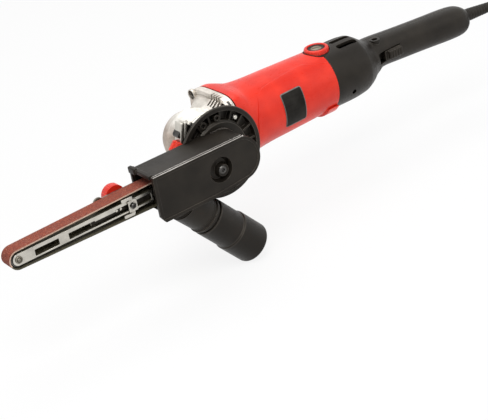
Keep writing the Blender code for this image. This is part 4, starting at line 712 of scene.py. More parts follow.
def makeHousing():
    h = housingSet
    rows = easeRows(h["rows"], 6)
    shell = work(loft(rows, 120))
    pad = work(rod(h["padRadius"], (h["padX"][0], 0, 0), (h["padX"][1], 0, 0), 96))
    cut(pad, brick((0, -0.06, h["padTop"]), (0.2, 0.06, 0.06)))
    join(shell, melt(pad))
    tongue = rod(dialSet["tongue"] + 0.0003, (dialSet["x"], 0, 0.016), (dialSet["x"], 0, 0.035), 72)
    cut(shell, rod(h["bore"], (0.02, 0, 0), (0.14, 0, 0), 96), tongue,
        *[rod(0.0020, (0.025, y, z), (0.0352, y, z), 24) for y in (-0.0235, 0.0235) for z in (-0.0262, 0.0262)])
    settle(shell, "motorShell", "tool", "red_plastic", ("motor_housing",), 0.00015, 3, 34)
    seal = work(loft([(0.02805, 0, 0.0296, 0.0319, 4.5), (0.02915, 0, 0.0296, 0.0319, 4.5)], 120))
    cut(seal, rod(h["bore"], (0.02, 0, 0), (0.04, 0, 0), 96))
    settle(seal, "flangeSeal", "tool", "black_plastic", (), 0)
    rise = h["panelRise"]
    panel = work(loft(grownRows(rows, rise), 160))
    carve(panel, "INTERSECT", slab(h["panel"], -0.05, -0.004))
    cut(panel, loft(grownRows(rows, -0.0005), 160))
    settle(panel, "sidePanel", "tool", "red_plastic", (), 0.0001, 2, look=finishes["red_plastic"])
    lowX, highX = h["plateX"]
    lowZ, highZ = h["plateZ"]
    wide = h["rimWidth"]
    plate = work(loft(grownRows(rows, rise + 0.0003), 160))
    carve(plate, "INTERSECT", brick((lowX, -0.04, lowZ), (highX, -0.015, highZ), 0.0012, 1))
    cut(plate, loft(grownRows(rows, rise + 0.00002), 160))
    settle(plate, "barePlate", "tool", "dark_steel", (), 0, look=plateFace)
    rim = work(loft(grownRows(rows, rise + 0.0005), 160))
    carve(rim, "INTERSECT", brick((lowX - wide, -0.04, lowZ - wide), (highX + wide, -0.015, highZ + wide), 0.002, 1))
    cut(rim, brick((lowX, -0.05, lowZ), (highX, 0, highZ), 0.0012, 1), loft(grownRows(rows, rise + 0.00002), 160))
    settle(rim, "barePlateRim", "tool", "dark_steel", (), 0.00015, look=plateRim)


makeHousing()
print("housing done")


# Gear case: a domed head about the spindle, a finned neck and a flange with four sunk screws.
caseSet = {"low": -0.018, "high": 0.019, "headRadius": 0.0266, "flangeX": (0.0215, 0.0280),
           "flange": (0.0305, 0.0328),
           "neck": ((0, 0, 0.0165, 0.0185, 3.0), (0.006, 0, 0.0183, 0.0203, 3.0), (0.012, 0, 0.0212, 0.0232, 3.0),
                    (0.018, 0, 0.0248, 0.0268, 3.2), (0.0225, 0, 0.0282, 0.0302, 3.6)),
           "finX": (0.0160, 0.0250), "finStep": 0.0034, "fins": 4, "finWide": 0.0019, "finY": -0.0157,
           "finFloor": 0.0200, "screwY": 0.0235, "screwZ": 0.0262}


def makeGearCase():
    c = caseSet
    r, high = c["headRadius"], c["high"]
    case = work(lathe(((0, high), (0.0128, high), (0.0172, high - 0.0006), (0.0202, high - 0.0027), (0.0224, 0.0118),
                       (0.0245, 0.0066), (0.0259, 0.0022), (r, -0.0015), (r, c["low"]), (0, c["low"])), "Y",
                      sides=128))
    bosses = [rod(0.0048, (0.0196, y, z), (0.0225, y, z), 40) for y in (-c["screwY"], c["screwY"])
              for z in (-c["screwZ"], c["screwZ"])]
    join(case, loft(easeRows(c["neck"], 3), 96),
         loft([(c["flangeX"][0], 0, c["flange"][0], c["flange"][1], 4.5),
               (c["flangeX"][1], 0, c["flange"][0], c["flange"][1], 4.5)], 120), *bosses)
    slots = []
    for fin in range(c["fins"]):
        y = c["finY"] + fin * c["finStep"]
        for low, top in ((c["finFloor"], 0.04), (-0.04, -c["finFloor"])):
            slots.append(brick((c["finX"][0], y - c["finWide"] / 2, low), (c["finX"][1], y + c["finWide"] / 2, top),
                               0.0007, 2))
    rooms = [rod(0.0225, (0, c["low"] - 0.002, 0), (0, -0.001, 0), 64), rod(0.009, (0, 0, 0), (0.03, 0, 0), 48),
             rod(0.0133, (0.0229, 0, 0), (0.03, 0, 0), 48), rod(0.0083, (0, -0.003, 0), (0, 0.0163, 0), 48),
             rod(0.0270, (0, -0.03250, 0), (0, c["low"] - 0.00015, 0), 96),
             rod(0.0043, (0.015, 0, 0), (0.015, 0.0275, 0), 40)]
    seats = []
    for y in (-c["screwY"], c["screwY"]):
        for z in (-c["screwZ"], c["screwZ"]):
            seats += [rod(0.0039, (0.0185, y, z), (0.0254, y, z), 32),
                      rod(0.0022, (0.0185, y, z), (0.0300, y, z), 24)]
    cut(case, *rooms, *seats)
    cut(case, gather(*slots))
    # dark strips on the fin slots' floors: painted shade
    shade = [brick((c["finX"][0] + 0.0001, c["finY"] + fin * c["finStep"] - 0.0008, side * 0.0210 - 0.0008),
                   (c["finX"][1] - 0.0001, c["finY"] + fin * c["finStep"] + 0.0008, side * 0.0210 + 0.0008), 0.0003)
             for fin in range(c["fins"]) for side in (-1, 1)]
    settle(work(gather(*shade)), "finGrime", "tool", "dark_steel", (), 0, look=finishes["carbon"])
    settle(case, "gearCase", "tool", "cast_aluminium", ("gear_case",), 0.0002, 2, 30)
    cover = lathe(((0.0260, -0.0183), (0.0260, -0.0220), (0.0205, -0.0220), (0.0205, -0.0395), (0.0070, -0.0395),
                   (0.0070, -0.0370), (0.0133, -0.0370), (0.0133, -0.0183)), "Y", ring=True)
    settle(work(cover), "collarCover", "tool", "cast_aluminium", ("bearing_cover",), 0.0004)


makeGearCase()


# A round-headed machine screw with a hexagon socket, along an axis.
def screwForm(points, axis, at, socket, faceAlong, depth, turn=None):
    screw = work(lathe(points, axis, at, 48, turn=turn))
    sign = 1 if depth > 0 else -1
    place = Matrix.Translation(at) @ (turn or axisTurns[axis])
    hole = turned(rod(socket, (0, 0, faceAlong + sign * abs(depth)), (0, 0, faceAlong - sign * 0.002), 6), place)
    return cut(screw, hole)


screwSet = {"shank": 0.0019, "head": 0.0036, "headDepth": 0.0034, "front": 0.0251, "end": 0.0348,
            "handle": (("cap", 0.1526, -0.012, -0.0183, 0.0019), ("rear", 0.290, -0.006642, 0.0072, 0.0030))}


def makeScrews():
    s = screwSet
    for tag, y, z in (("1", -1, 1), ("2", 1, 1), ("3", -1, -1), ("4", 1, -1)):
        top = s["front"] - s["headDepth"]
        points = ((0, s["end"]), (s["shank"], s["end"]), (s["shank"], s["front"]), (s["head"], s["front"]),
                  (s["head"], top + 0.0006), (s["head"] - 0.0006, top), (0, top))
        screw = screwForm(points, "X", (0, y * caseSet["screwY"], z * caseSet["screwZ"]), 0.0019, top, 0.0018)
        settle(screw, "caseScrew" + tag, "tool", "dark_steel", ("gear_case_screw_" + tag,), 0.0002)
    for tag, x, z, seat, r in s["handle"]:
        side = -1 if seat < 0 else 1  # the rear one goes in from the far side
        head = seat + side * 0.0003
        face = head + side * 0.003
        points = ((0, -side * 0.009), (0.0017, -side * 0.009), (0.0017, head), (r, head), (r, face - side * 0.0006),
                  (r - 0.0006, face), (0, face))
        screw = screwForm(points, "Y", (x, 0, z), r * 0.5, face, -side * 0.0016)
        settle(screw, "handleScrew" + tag.title(), "tool", "dark_steel", ("handle_screw_" + tag,), 0.0002)
    button = lathe(((0, 0.0100), (0.0040, 0.0100), (0.0040, 0.0268), (0.0036, 0.0273), (0.0020, 0.0275), (0, 0.0275)),
                   "Y", (0.015, 0, 0), 48)
    settle(work(button), "lockButton", "lock", "black_plastic", ("spindle_lock_button",), 0.0002)


# Rear cap and handle: two shells that meet on the middle plane.
handleSet = {"front": (0.1353, 0.0277), "capRadius": 0.0279, "neckX": 0.202, "grip": 0.106,
             "half": (0.0141, 0.0143), "lift": (0.0019, -0.0050), "wall": 0.0026, "gap": 0.00015,
             "shoulder": ((0.1600, 0, 0.0279, 0.0279), (0.1720, 0.0002, 0.0270, 0.0270),
                          (0.1768, -0.0003, 0.0253, 0.0253), (0.1831, -0.0013, 0.0218, 0.0218),
                          (0.1886, -0.0012, 0.0184, 0.0183), (0.1936, 0.0003, 0.0163, 0.0163),
                          (0.2020, 0.0019, 0.0148, 0.0145)),
             "gripStations": ((0.22, 1.0), (0.50, 1.0), (0.76, 1.02), (0.89, 0.985), (0.955, 0.88), (1.0, 0.68)),
             "vents": (0.1632, 0.0215, 0.0050, 0.0096), "boss": (0.1966, -0.0068, 0.0046),
             "screws": ((0.1526, -0.012, 0.0279, 0.0199), (0.290, -0.006642, 0.0141, 0.0107))}
switchSet = {"x": (0.200, 0.219), "z": 0.0008, "height": 0.009, "out": -0.0182, "in": -0.0099, "travel": 0.007}


def handleLift(x):
    start, end = handleSet["lift"]
    return start + (end - start) * (x - handleSet["neckX"]) / handleSet["grip"]


def handleRows(inset):
    h = handleSet
    frontX, frontRadius = h["front"]
    capRadius = h["capRadius"]
    rows = [(frontX - inset * 2, 0, frontRadius - inset, frontRadius - inset, 2.0),
            (frontX + 0.006, 0, capRadius - inset, capRadius - inset, 2.0)]
    for x, lift, halfY, halfZ in h["shoulder"]:
        rows.append((x, lift, halfY - inset, halfZ - inset, 2.0 + 0.3 * (x > 0.19)))
    for share, size in h["gripStations"]:
        x = h["neckX"] + h["grip"] * share
        rows.append((x - inset * share, handleLift(x), h["half"][0] * size - inset, h["half"][1] * size - inset, 2.3))
    return easeRows(rows, 5)


def makeHandle():
    h = handleSet
    d = dialSet
    ventX, ventLength, ventWide, ventStep = h["vents"]
    for side, sign in (("left", -1), ("right", 1)):
        shell = work(loft(handleRows(0), 112))
        tongue = work(rod(d["tongue"], (d["x"], 0, 0.020), (d["x"], 0, 0.034), 72))  # black seat round the dial
        carve(tongue, "INTERSECT", rod(0.0284, (0.11, 0, 0), (0.17, 0, 0), 112))
        cut(tongue, rod(0.0251, (0.10, 0, 0), (0.18, 0, 0), 96))
        join(shell, melt(tongue))
        other = sorted((sign * h["gap"], -sign * 0.1))
        vents = [brick((ventX - ventLength / 2, row * ventStep - ventWide / 2, 0.013),
                       (ventX + ventLength / 2, row * ventStep + ventWide / 2, 0.032), ventWide * 0.46, 2)
                 for row in (-1, 0, 1)]
        droop = Matrix.Translation((bootSet["start"][0], 0, bootSet["start"][1])) @ Matrix.Rotation(
            math.radians(bootSet["droop"]), 4, "Y")
        boot = turned(rod(bootSet["neck"] + 0.0003, (0, 0, 0), (0.03, 0, 0), 48), droop)
        cut(shell, loft(handleRows(h["wall"]), 96), brick((-0.1, other[0], -0.1), (0.4, other[1], 0.1)), dialPocket(),
            boot, *vents)
        pillars, holes = [], []
        for (x, z, reach, end), (*_, seat, r) in zip(h["screws"], screwSet["handle"]):
            pillars.append(rod(0.0052, (x, sign * h["gap"], z), (x, sign * end, z), 40))
            if sign * seat > 0:
                holes += [rod(r + 0.0003, (x, sign * (reach + 0.002), z), (x, seat, z), 40),
                          rod(0.0020, (x, sign * reach, z), (x, -sign * 0.002, z), 32)]
            else:
                holes.append(rod(0.0020, (x, -sign * 0.001, z), (x, sign * 0.0093, z), 32))
        join(shell, *pillars)
        cut(shell, *holes)
        if sign < 0:
            lowX, highX = switchSet["x"]
            half = switchSet["height"] / 2 + 0.0006
            x, y, r = h["boss"]
            join(shell, rod(r, (x, y, 0.0105), (x, y, 0.0168), 48))
            cut(shell, brick((lowX - switchSet["travel"] - 0.0006, -0.0196, switchSet["z"] - half),
                             (highX + 0.0006, -0.0096, switchSet["z"] + half), 0.0012, 1),
                rod(r * 0.6, (x, y, 0.0122), (x, y, 0.03), 32))
        settle(shell, "handleShell" + side.title(), "tool", "black_plastic", ("handle_" + side,), 0.0002, 2, 34)


# Slide switch: a ribbed thumb pad in its slot.
def makeSwitch():
    s = switchSet
    lowX, highX = s["x"]
    half = s["height"] / 2
    pad = work(brick((lowX, s["out"] + 0.0030, s["z"] - half), (highX, s["in"], s["z"] + half), 0.0011, 1))
    join(pad, brick((lowX + 0.0030, s["out"], s["z"] - half + 0.0004),
                    (highX - 0.0004, s["out"] + 0.006, s["z"] + half - 0.0004), 0.0016))
    grooves = [brick((lowX + 0.0060 + 0.0030 * step, s["out"] - 0.001, s["z"] - half - 0.001),
                     (lowX + 0.0070 + 0.0030 * step, s["out"] + 0.0006, s["z"] + half + 0.001),
                     0.0003)
               for step in range(4)]
    cut(pad, *grooves)
    settle(pad, "thumbSwitch", "switch", "black_plastic", ("slide_switch",), 0.0002)


# Speed dial: a toothed red ring round a sunk face with a pointer and ticks.
def makeDial():
    d = dialSet
    spot = Matrix.Translation((d["x"], 0, 0))
    r, high, hub, mid = d["radius"], d["high"], d["hub"], d["face"]
    ring = work(lathe(((0, high - 0.0022), (hub, high - 0.0022), (hub + 0.0003, high - 0.0004),
                       (hub + 0.0010, high), (r - 0.0016, high), (r - 0.0005, high - 0.0005),
                       (r, high - 0.0016), (r, d["low"]), (0, d["low"])), "Z", (d["x"], 0, 0), 88))
    cut(ring, turned(ringOf(d["teeth"], r + 0.0003, lambda: rod(0.0005, (0, 0, d["low"] + 0.0012),
                                                                (0, 0, high + 0.002), 8)), spot))
    settle(ring, "dialRing", "dial", "red_plastic", ("speed_dial",), 0.00008)
    trim = work(lathe(((mid, high - 0.0021), (hub - 0.0003, high - 0.0021), (hub - 0.0003, high - 0.0008),
                       (hub - 0.0009, high - 0.0005), (mid, high - 0.0009)), "Z", (d["x"], 0, 0), 64, True))
    ticks = turned(ringOf(10, (hub + mid) / 2 - 0.0001, lambda: brick((-0.0007, -0.00018, high - 0.0012),
                                                                      (0.0007, 0.00018, high + 0.001))), spot)
    cut(trim, ticks)
    settle(trim, "dialTrim", "dial", "black_plastic", (), 0)
    face = work(lathe(((0, high - 0.0021), (mid - 0.0002, high - 0.0021), (mid - 0.0002, high - 0.0012),
                       (mid - 0.0008, high - 0.0008), (0, high - 0.0006)), "Z", (d["x"], 0, 0), 64))
    lean = spot @ Matrix.Rotation(math.radians(-20), 4, "Z")
    cut(face, turned(brick((-0.0042, -0.0007, high - 0.0016), (0.0042, 0.0007, high + 0.001), 0.0003), lean))
    settle(face, "dialFace", "dial", "black_plastic", (), 0.0001, look=dialFace)


makeScrews()
makeHandle()
makeSwitch()
makeDial()
print("handle done")


# Guard disc: a flat ring with a rolled rim, a raised hub ring, ribs, bosses and a rivet.
discSet = {"radius": 0.0388, "sag": 0.0014, "sagFrom": 0.030, "rim": 0.0042, "taper": 0.0036, "high": -0.0325,
           "low": -0.037, "lip": -0.0400, "bore": 0.0209, "floor": -0.0343,
           "hub": (0.0186, 0.0258, -0.0408), "bosses": ((-0.0122, 0.0271, 0.0032), (0.0016, 0.0286, 0.0028)),
           "rivet": (0.0195, 0.0218), "ribs": 18}
guardSet = {"radius": 0.0195, "mouth": -0.082, "front": -0.0691, "plate": 0.0028, "open": -0.0660, "back": -0.0373,
            "wall": 0.0025, "screwX": -0.0197, "screwRadius": 0.0036, "dish": (-0.0210, 0.0006, 0.0106, 0.0058),
            "stud": (-0.0182, -0.0014, 0.0064),
            "boxCorner": ((-0.095, -0.0105), (-0.0815, -0.0110), (-0.0700, -0.0205), (-0.0700, -0.0300),
                          (-0.095, -0.0300)),
            "lidCorner": ((-0.095, -0.0128), (-0.0832, -0.0135), (-0.0785, -0.0203), (-0.0785, -0.0300),
                          (-0.095, -0.0300))}
beltY = -0.0494


def makeDisc():
    d = discSet
    r, rim, lip, floor = d["radius"], d["rim"], d["lip"], d["floor"]
    inner, outer, crown = d["hub"]
    form = lathe(((r - d["taper"], d["high"]), (r, lip + 0.0018), (r, lip + 0.0005), (r - 0.0005, lip),
                  (r - rim + 0.0004, lip), (r - rim, lip + 0.0004), (r - rim - 0.0003, floor),
                  (outer + 0.0006, floor), (outer, crown + 0.0016), (outer - 0.0016, crown), (inner, crown),
                  (inner, -0.0397), (d["bore"], -0.0397), (d["bore"], d["high"])), "Y", ring=True, sides=128)
    for vert in form.verts:  # the rim hangs a little low of the bore
        if math.hypot(vert.co.x, vert.co.z) > d["sagFrom"]:
            vert.co.z -= d["sag"]
    disc = work(form)
    low = Matrix.Translation((0, 0, -d["sag"]))
    ribs = [turned(brick((outer - 0.0022, lip + 0.0012, -0.0008), (r - rim + 0.0006, floor + 0.0006, 0.0008)),
                   low @ Matrix.Rotation(2 * math.pi * step / d["ribs"], 4, "Y")) for step in range(d["ribs"])]
    bosses = [rod(size, (x, floor + 0.0006, z), (x, lip - 0.0002, z), 36) for x, z, size in d["bosses"]]
    join(disc, *ribs, *bosses)
    holes = [rod(size * 0.52, (x, lip + 0.0026, z), (x, lip - 0.002, z), 32) for x, z, size in d["bosses"]]
    notch = horseshoe(guardSet["radius"] + 0.0003, guardSet["mouth"], -0.06, d["low"])
    x, z = d["rivet"]
    cut(disc, notch, *holes, rod(0.0024, (x, floor + 0.001, z), (x, -0.05, z), 32))
    settle(disc, "guardDisc", "head", "black_plastic", ("guard_disc",), 0.0003, 2)
    rivet = lathe(((0, floor + 0.0006), (0.0022, floor + 0.0006), (0.0022, lip + 0.0020), (0.0016, lip + 0.0010),
                   (0, lip + 0.0006)), "Y", (x, 0, z), 32)
    settle(work(rivet), "discRivet", "head", "bright_steel", (), 0.0002)


# Guard box with a flared mouth, the dust neck on its underside and a lidded open side.
neckSet = {"slant": 49.1, "start": (-0.0315, -0.0425), "length": 0.0561, "radius": 0.0161, "endRadius": 0.0172,
           "wall": 0.0018, "overlap": 0.009, "neck": 0.036,
           "steps": ((0.0156, 0.028, 0.0075, 0.0152), (0.0150, 0.0090, 0.0006, None), (0.0160, 0.0045, 0.0028, None))}


def pipeRun():
    slant = math.radians(neckSet["slant"])
    return Vector((math.cos(slant), 0, -math.sin(slant))), Vector((neckSet["start"][0], beltY, neckSet["start"][1]))


def makeGuard():
    g = guardSet
    r, wall, mouth, back = g["radius"], g["wall"], g["mouth"], g["back"]
    body = work(horseshoe(r, mouth, g["open"], back))
    run, start = pipeRun()
    inner = neckSet["radius"] - neckSet["wall"] - 0.0003
    join(body, rod(inner, start - run * neckSet["neck"], start + run * neckSet["overlap"], 64),
         *[rod(wide, start - run * far, start - run * near, 64, end) for wide, far, near, end in neckSet["steps"]])
    lips = [brick((mouth - 0.0016, g["open"] + 0.0010, r - 0.0020), (mouth + 0.0024, back, r + 0.0012), 0.0006),
            brick((mouth - 0.0016, back - 0.0022, -r + 0.001), (mouth + 0.0022, back + 0.0010, r + 0.0008), 0.0006),
            brick((mouth - 0.0030, back - 0.0090, r - 0.0030), (mouth + 0.0006, back + 0.0004, r + 0.0026), 0.0010)]
    join(body, *lips)
    cut(body, horseshoe(r - wall, mouth - 0.01, g["open"] - 0.002, back - wall),
        rod(inner - 0.002, start - run * (neckSet["neck"] + 0.001), start + run * 0.012, 64),
        rod(discSet["bore"], (0, -0.0418, 0), (0, -0.0353, 0), 64),
        slab(g["boxCorner"], g["open"] - 0.001, back + 0.002))
    settle(body, "guardBox", "head", "black_plastic", ("guard_body",), 0.0003, 2)
    front = g["front"]
    lid = work(horseshoe(r + 0.0005, mouth - 0.0006, front, front + g["plate"]))
    ridge = horseshoe(r - 0.0022, mouth + 0.0022, front - 0.002, front + 0.0005)
    x, z, wide, deep = g["dish"]
    join(lid, rod(wide + 0.0012, (x, front + 0.001, z), (x, front + deep + 0.0012, z), 72, wide - 0.0006))
    hollow = lathe(((0, front - 0.002), (wide, front - 0.002), (wide, front + 0.0008), (wide - 0.0020, front + deep),
                    (0, front + deep)), "Y", (x, 0, z), 72)
    cut(lid, ridge, hollow, slab(g["lidCorner"], front - 0.001, front + 0.006))
    studX, studZ, studWide = g["stud"]
    join(lid, rod(studWide, (studX, front + deep + 0.0004, studZ), (studX, front + 0.0016, studZ), 48,
                  studWide - 0.0016))
    cut(lid, rod(0.0022, (g["screwX"], front - 0.002, 0), (g["screwX"], front + 0.009, 0), 32))
    settle(lid, "guardLid", "head", "black_plastic", ("guard_cover",), 0.0002, 2)
    floor = front + 0.0015
    s = g["screwRadius"]
    points = ((0, beltY), (0.0019, beltY), (0.0019, floor), (s, floor), (s, floor - 0.0010),
              (s - 0.0008, floor - 0.0019), (0, floor - 0.0020))
    screw = screwForm(points, "Y", (g["screwX"], 0, 0), 0.0017, floor - 0.0020, 0.0016)
    settle(screw, "lidScrew", "head", "dark_steel", ("cover_screw",), 0.0002)
    top = r + 0.0005
    trim = [brick((mouth - 0.0004, front - 0.0002, top - 0.0002), (0.0030, front + 0.0003, top + 0.0003), 0.00015),
            brick((mouth + 0.0004, front + 0.0030, top - 0.0008), (0.0042, front + 0.0035, top - 0.0001), 0.00015),
            brick((0.0034, front - 0.0003, top - 0.0005), (0.0046, front + 0.0009, top + 0.0004), 0.0003)]
    settle(work(gather(*trim)), "lidTrim", "head", "black_plastic", (), 0, look=lidHighlightTone)  # pale strips along the lid's edges: a painted highlight


def makePipe():
    n = neckSet
    run, start = pipeRun()
    length, r, end, wall = n["length"], n["radius"], n["endRadius"], n["wall"]
    half = length / 2
    points = ((r - 0.0004, 0), (r, 0.0006), (r, half - 0.0008), (end, half + 0.0004), (end, length - 0.0010),
              (end - 0.0005, length), (end - wall + 0.0004, length), (end - wall, length - 0.0006),
              (r - wall, half), (r - wall, 0))
    pipe = work(lathe(points, "Z", start, 96, True, run.to_track_quat("Z", "Y").to_matrix().to_4x4()))
    settle(pipe, "dustPipe", "head", "black_plastic", ("dust_pipe",), 0.0005, 3, 24)


makeDisc()
makeGuard()
makePipe()
print("guard done")


# Clamp: a split ring on the collar, drawn together by a bolt and a small red knob.
clampSet = {"turn": 45.0, "bore": 0.0208, "radius": 0.0242, "low": -0.0322, "high": -0.0227, "ear": 0.0396,
            "earHalf": 0.0065, "slot": 0.0020, "boltX": -0.0325, "boltRadius": 0.0022, "knob": 0.0057,
            "knobLength": 0.0122, "lugAt": (-0.0267, 0.0232), "lugHalf": 0.0104, "lugWide": 0.0027,
            "lugGap": 0.0009, "lugLean": 13.0}


def makeClamp():
    c = clampSet
    lean = Matrix.Rotation(math.radians(c["turn"]), 4, "Y")
    middle = (c["low"] + c["high"]) / 2
    ring = work(turned(lathe(((c["radius"], c["high"]), (c["radius"], c["low"]), (c["bore"], c["low"]),
                              (c["bore"], c["high"])), "Y", ring=True), lean))
    join(ring, turned(brick((-c["ear"], c["low"] + 0.0014, -c["earHalf"]), (-0.0211, c["high"], c["earHalf"]),
                            0.0025, 1), lean))
    cut(ring, turned(brick((-0.05, -0.05, -c["slot"] / 2), (-0.0188, 0, c["slot"] / 2)), lean),
        turned(rod(c["boltRadius"] + 0.0003, (c["boltX"], middle, -0.03), (c["boltX"], middle, 0.03), 32), lean))
    # painted shade: the ring takes the dark steel so that it reads as the shade behind the lugs
    settle(ring, "clampRing", "head", "bright_steel", ("clamp_ring",), 0.0003, 2, look=finishes["dark_steel"])
    upright = Matrix.Translation((c["lugAt"][0], 0, c["lugAt"][1])) @ Matrix.Rotation(
        math.radians(c["lugLean"]), 4, "Y")
    near = c["lugGap"] / 2
    lugs = work(gather(*[turned(brick((low, c["low"] - 0.0001, -c["lugHalf"]),
                                      (low + c["lugWide"], c["high"] - 0.0006, c["lugHalf"]), 0.0008),
                                upright) for low in (-near - c["lugWide"], near)]))
    cut(lugs, turned(lathe(((c["bore"] + 0.0004, c["high"]), (c["bore"] + 0.0004, c["low"]), (0, c["low"]),
                            (0, c["high"])), "Y"), lean))
    settle(lugs, "clampLugs", "head", "bright_steel", (), 0.0002)
    top = c["earHalf"] + 0.0003
    end = -c["earHalf"] - 0.0088
    spot = lean @ Vector((c["boltX"], middle, 0))
    bolt = screwForm(((0, end), (c["boltRadius"], end), (c["boltRadius"], top), (0.0036, top), (0.0036, top + 0.0026),
                      (0.0032, top + 0.003), (0, top + 0.003)), "Z", spot, 0.0018, top + 0.003, -0.0018, lean)
    settle(bolt, "clampBolt", "head", "bright_steel", ("clamp_bolt",), 0.0002)
    high = -c["earHalf"] - 0.0026
    low = -c["earHalf"] - 0.0003 - c["knobLength"]
    r, hole = c["knob"], c["boltRadius"] + 0.0003
    knob = work(turned(lathe(((0, end - 0.0003), (hole, end - 0.0003), (hole, high), (r - 0.0008, high),
                              (r, high - 0.0008), (r, low + 0.0012), (r - 0.0006, low + 0.0004),
                              (r - 0.0016, low), (0, low)), "Z", (c["boltX"], middle, 0), 64), lean))
    cut(knob, turned(ringOf(12, r + 0.0003, lambda: rod(0.0007, (0, 0, low - 0.001), (0, 0, high - 0.0016), 8)),
                     lean @ Matrix.Translation((c["boltX"], middle, 0))))
    settle(knob, "clampKnob", "clamp", "red_plastic", ("clamp_knob",), 0.0001)


# Arm: a channel with windows, rounded at the nose, that slides on its bar against a spring.
armSet = {"nose": -0.1985, "rear": -0.0780, "halfY": 0.0063, "halfZ": 0.0048, "wall": 0.0014,
          "stop": (-0.1644, -0.162),
          "windows": ((-0.1846, 0.0209, -0.0034, 0.0017), (-0.1550, 0.0235, -0.0034, 0.0017),
                      (-0.1320, 0.0200, -0.0034, 0.0008), (-0.1125, 0.0120, -0.0034, 0.0022),
                      (-0.0940, 0.0142, -0.0034, 0.0024)), "travel": 0.008,
          "guideX": -0.0978, "guideScrew": 0.0016, "pin": 0.0016, "roller": 0.0066}


def makeArm():
    a = armSet
    nose, halfZ, room = a["nose"], a["halfZ"], a["halfY"] - a["wall"]
    low, high = beltY - a["halfY"], beltY + a["halfY"]
    block = brick((nose - halfZ, low, -halfZ), (a["rear"], high, halfZ))
    front = endEdges(block, nose)
    bmesh.ops.bevel(block, geom=front, offset=halfZ * 0.998, segments=14, profile=0.5, affect="EDGES", material=-1)
    arm = work(block)
    top = halfZ - a["wall"]
    cut(arm, brick((nose - halfZ - 0.002, beltY - room, -0.007), (nose + a["roller"] + 0.002, beltY + room, 0.007)),
        brick((nose, beltY - room, -top), (a["stop"][0], beltY + room, top)),
        brick((a["stop"][1], beltY - room, -top), (a["rear"] + 0.002, beltY + room, top)))
    cut(arm, *[brick((x, low - 0.002, floor), (x + length, beltY, roof), 0.0006, 1)
               for x, length, floor, roof in a["windows"]])
    play = a["guideScrew"] + 0.0006
    cut(arm, brick((a["guideX"] - a["travel"] - play, low - 0.002, -play), (a["guideX"] + play, high + 0.002, play),
                   play * 0.95, 1),
        rod(a["pin"] + 0.0003, (nose, low - 0.002, 0), (nose, high + 0.002, 0), 32))
    settle(arm, "slidingArm", "arm", "cast_aluminium", ("sliding_arm",), 0.0002, 2, look=finishes["bright_steel"])
    arm.data.materials.append(armShadeSteel)
    for face in arm.data.polygons:  # painted shade: the inside and the top and bottom faces, under the belt, take the darker steel
        spot = face.center - toolZero
        inside = abs(spot.y - beltY) < room + 0.0001 and abs(spot.z) < top + 0.0001
        upper = abs(face.normal.z) > 0.7 and abs(spot.z) > a["halfZ"] - 0.0002
        face.material_index = 1 if upper or (inside and spot.x > nose + 0.001) else 0
    face = low - 0.0003
    pin = lathe(((0, high), (a["pin"], high), (a["pin"], face), (0.0015, face - 0.0008), (0.0010, face - 0.0013),
                 (0, face - 0.0013)), "Y", (nose, 0, 0), 40)
    settle(work(pin), "nosePin", "arm", "bright_steel", ("nose_pin",), 0.0001, look=dullSteel)
    washer = lathe(((0.0019, face + 0.0001), (0.0030, face + 0.0001), (0.0030, face - 0.0003),
                    (0.0026, face - 0.0007), (0.0019, face - 0.0007)), "Y", (nose, 0, 0), 40, True)
    settle(work(washer), "noseWasher", "arm", "dark_steel", (), 0.0001, look=dullSteel)
    half = room - 0.0003
    hole = a["pin"] + 0.0003
    roller = lathe(((hole, beltY - half), (a["roller"] - 0.0004, beltY - half), (a["roller"], beltY - half + 0.0005),
                    (a["roller"], beltY + half - 0.0005), (a["roller"] - 0.0004, beltY + half), (hole, beltY + half)),
                   "Y", (nose, 0, 0), 64, True)
    settle(work(roller), "noseRoller", "nose", "dark_steel", ("nose_roller",), 0.0002)


# Dark strips along the bar's near face, a painted shade, with two small screws.
stripSet = {"runs": ((-0.1335, -0.1002), (-0.0954, -0.0800)), "dots": (-0.1105, -0.1068)}


def makeStrip():
    near, back = beltY - 0.0040, beltY - 0.00305
    strips = [brick((lowX, near, -0.0029), (highX, back, 0.0029), 0.0002) for lowX, highX in stripSet["runs"]]
    settle(work(gather(*strips)), "wearStrips", "head", "black_plastic", (), 0, look=finishes["black_plastic"])
    dots = [lathe(((0, near + 0.0002), (0.0011, near + 0.0002), (0.0010, near - 0.0003), (0.0006, near - 0.0005),
                   (0, near - 0.0005)), "Y", (x, 0, 0), 24) for x in stripSet["dots"]]
    settle(work(gather(*dots)), "stripScrews", "head", "bright_steel", (), 0)


springSet = {"low": -0.1613, "high": -0.1347, "radius": 0.0021, "wire": 0.0004, "turns": 9}


def makeSpring():
    s = springSet
    form = bmesh.new()
    bmesh.ops.create_circle(form, cap_ends=True, segments=10, radius=s["wire"])
    bmesh.ops.transform(form, matrix=Matrix.Translation((s["low"], beltY + s["radius"], 0)), verts=form.verts)
    bmesh.ops.spin(form, geom=form.faces[:], cent=(s["low"], beltY, 0), axis=(1, 0, 0),
                   angle=2 * math.pi * s["turns"], steps=s["turns"] * 20,
                   dvec=((s["high"] - s["low"]) / (s["turns"] * 20), 0, 0), use_merge=False)
    bmesh.ops.remove_doubles(form, verts=form.verts, dist=0.0000005)
    bmesh.ops.recalc_face_normals(form, faces=form.faces)
    spring = work(form)
    settle(spring, "tensionSpring", None, "bright_steel", ("tension_spring",), 0)
    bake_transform(spring)


# Guide plate on the near side, tracking plate and knob on the far side.
guideSet = {"x": -0.0978, "halfX": 0.0039, "halfZ": 0.0047, "tabX": (-0.1070, -0.0975), "tabZ": (0.0055, 0.0080),
            "thick": 0.0014, "head": 0.0023}
trackSet = {"x": (-0.1200, -0.084), "halfZ": 0.0094, "tip": (-0.1182, 0.0064, 0.0046), "y": (-0.0420, -0.0405),
            "knob": (-0.102, 0.0048), "radius": 0.009, "depth": 0.008, "flutes": 10}


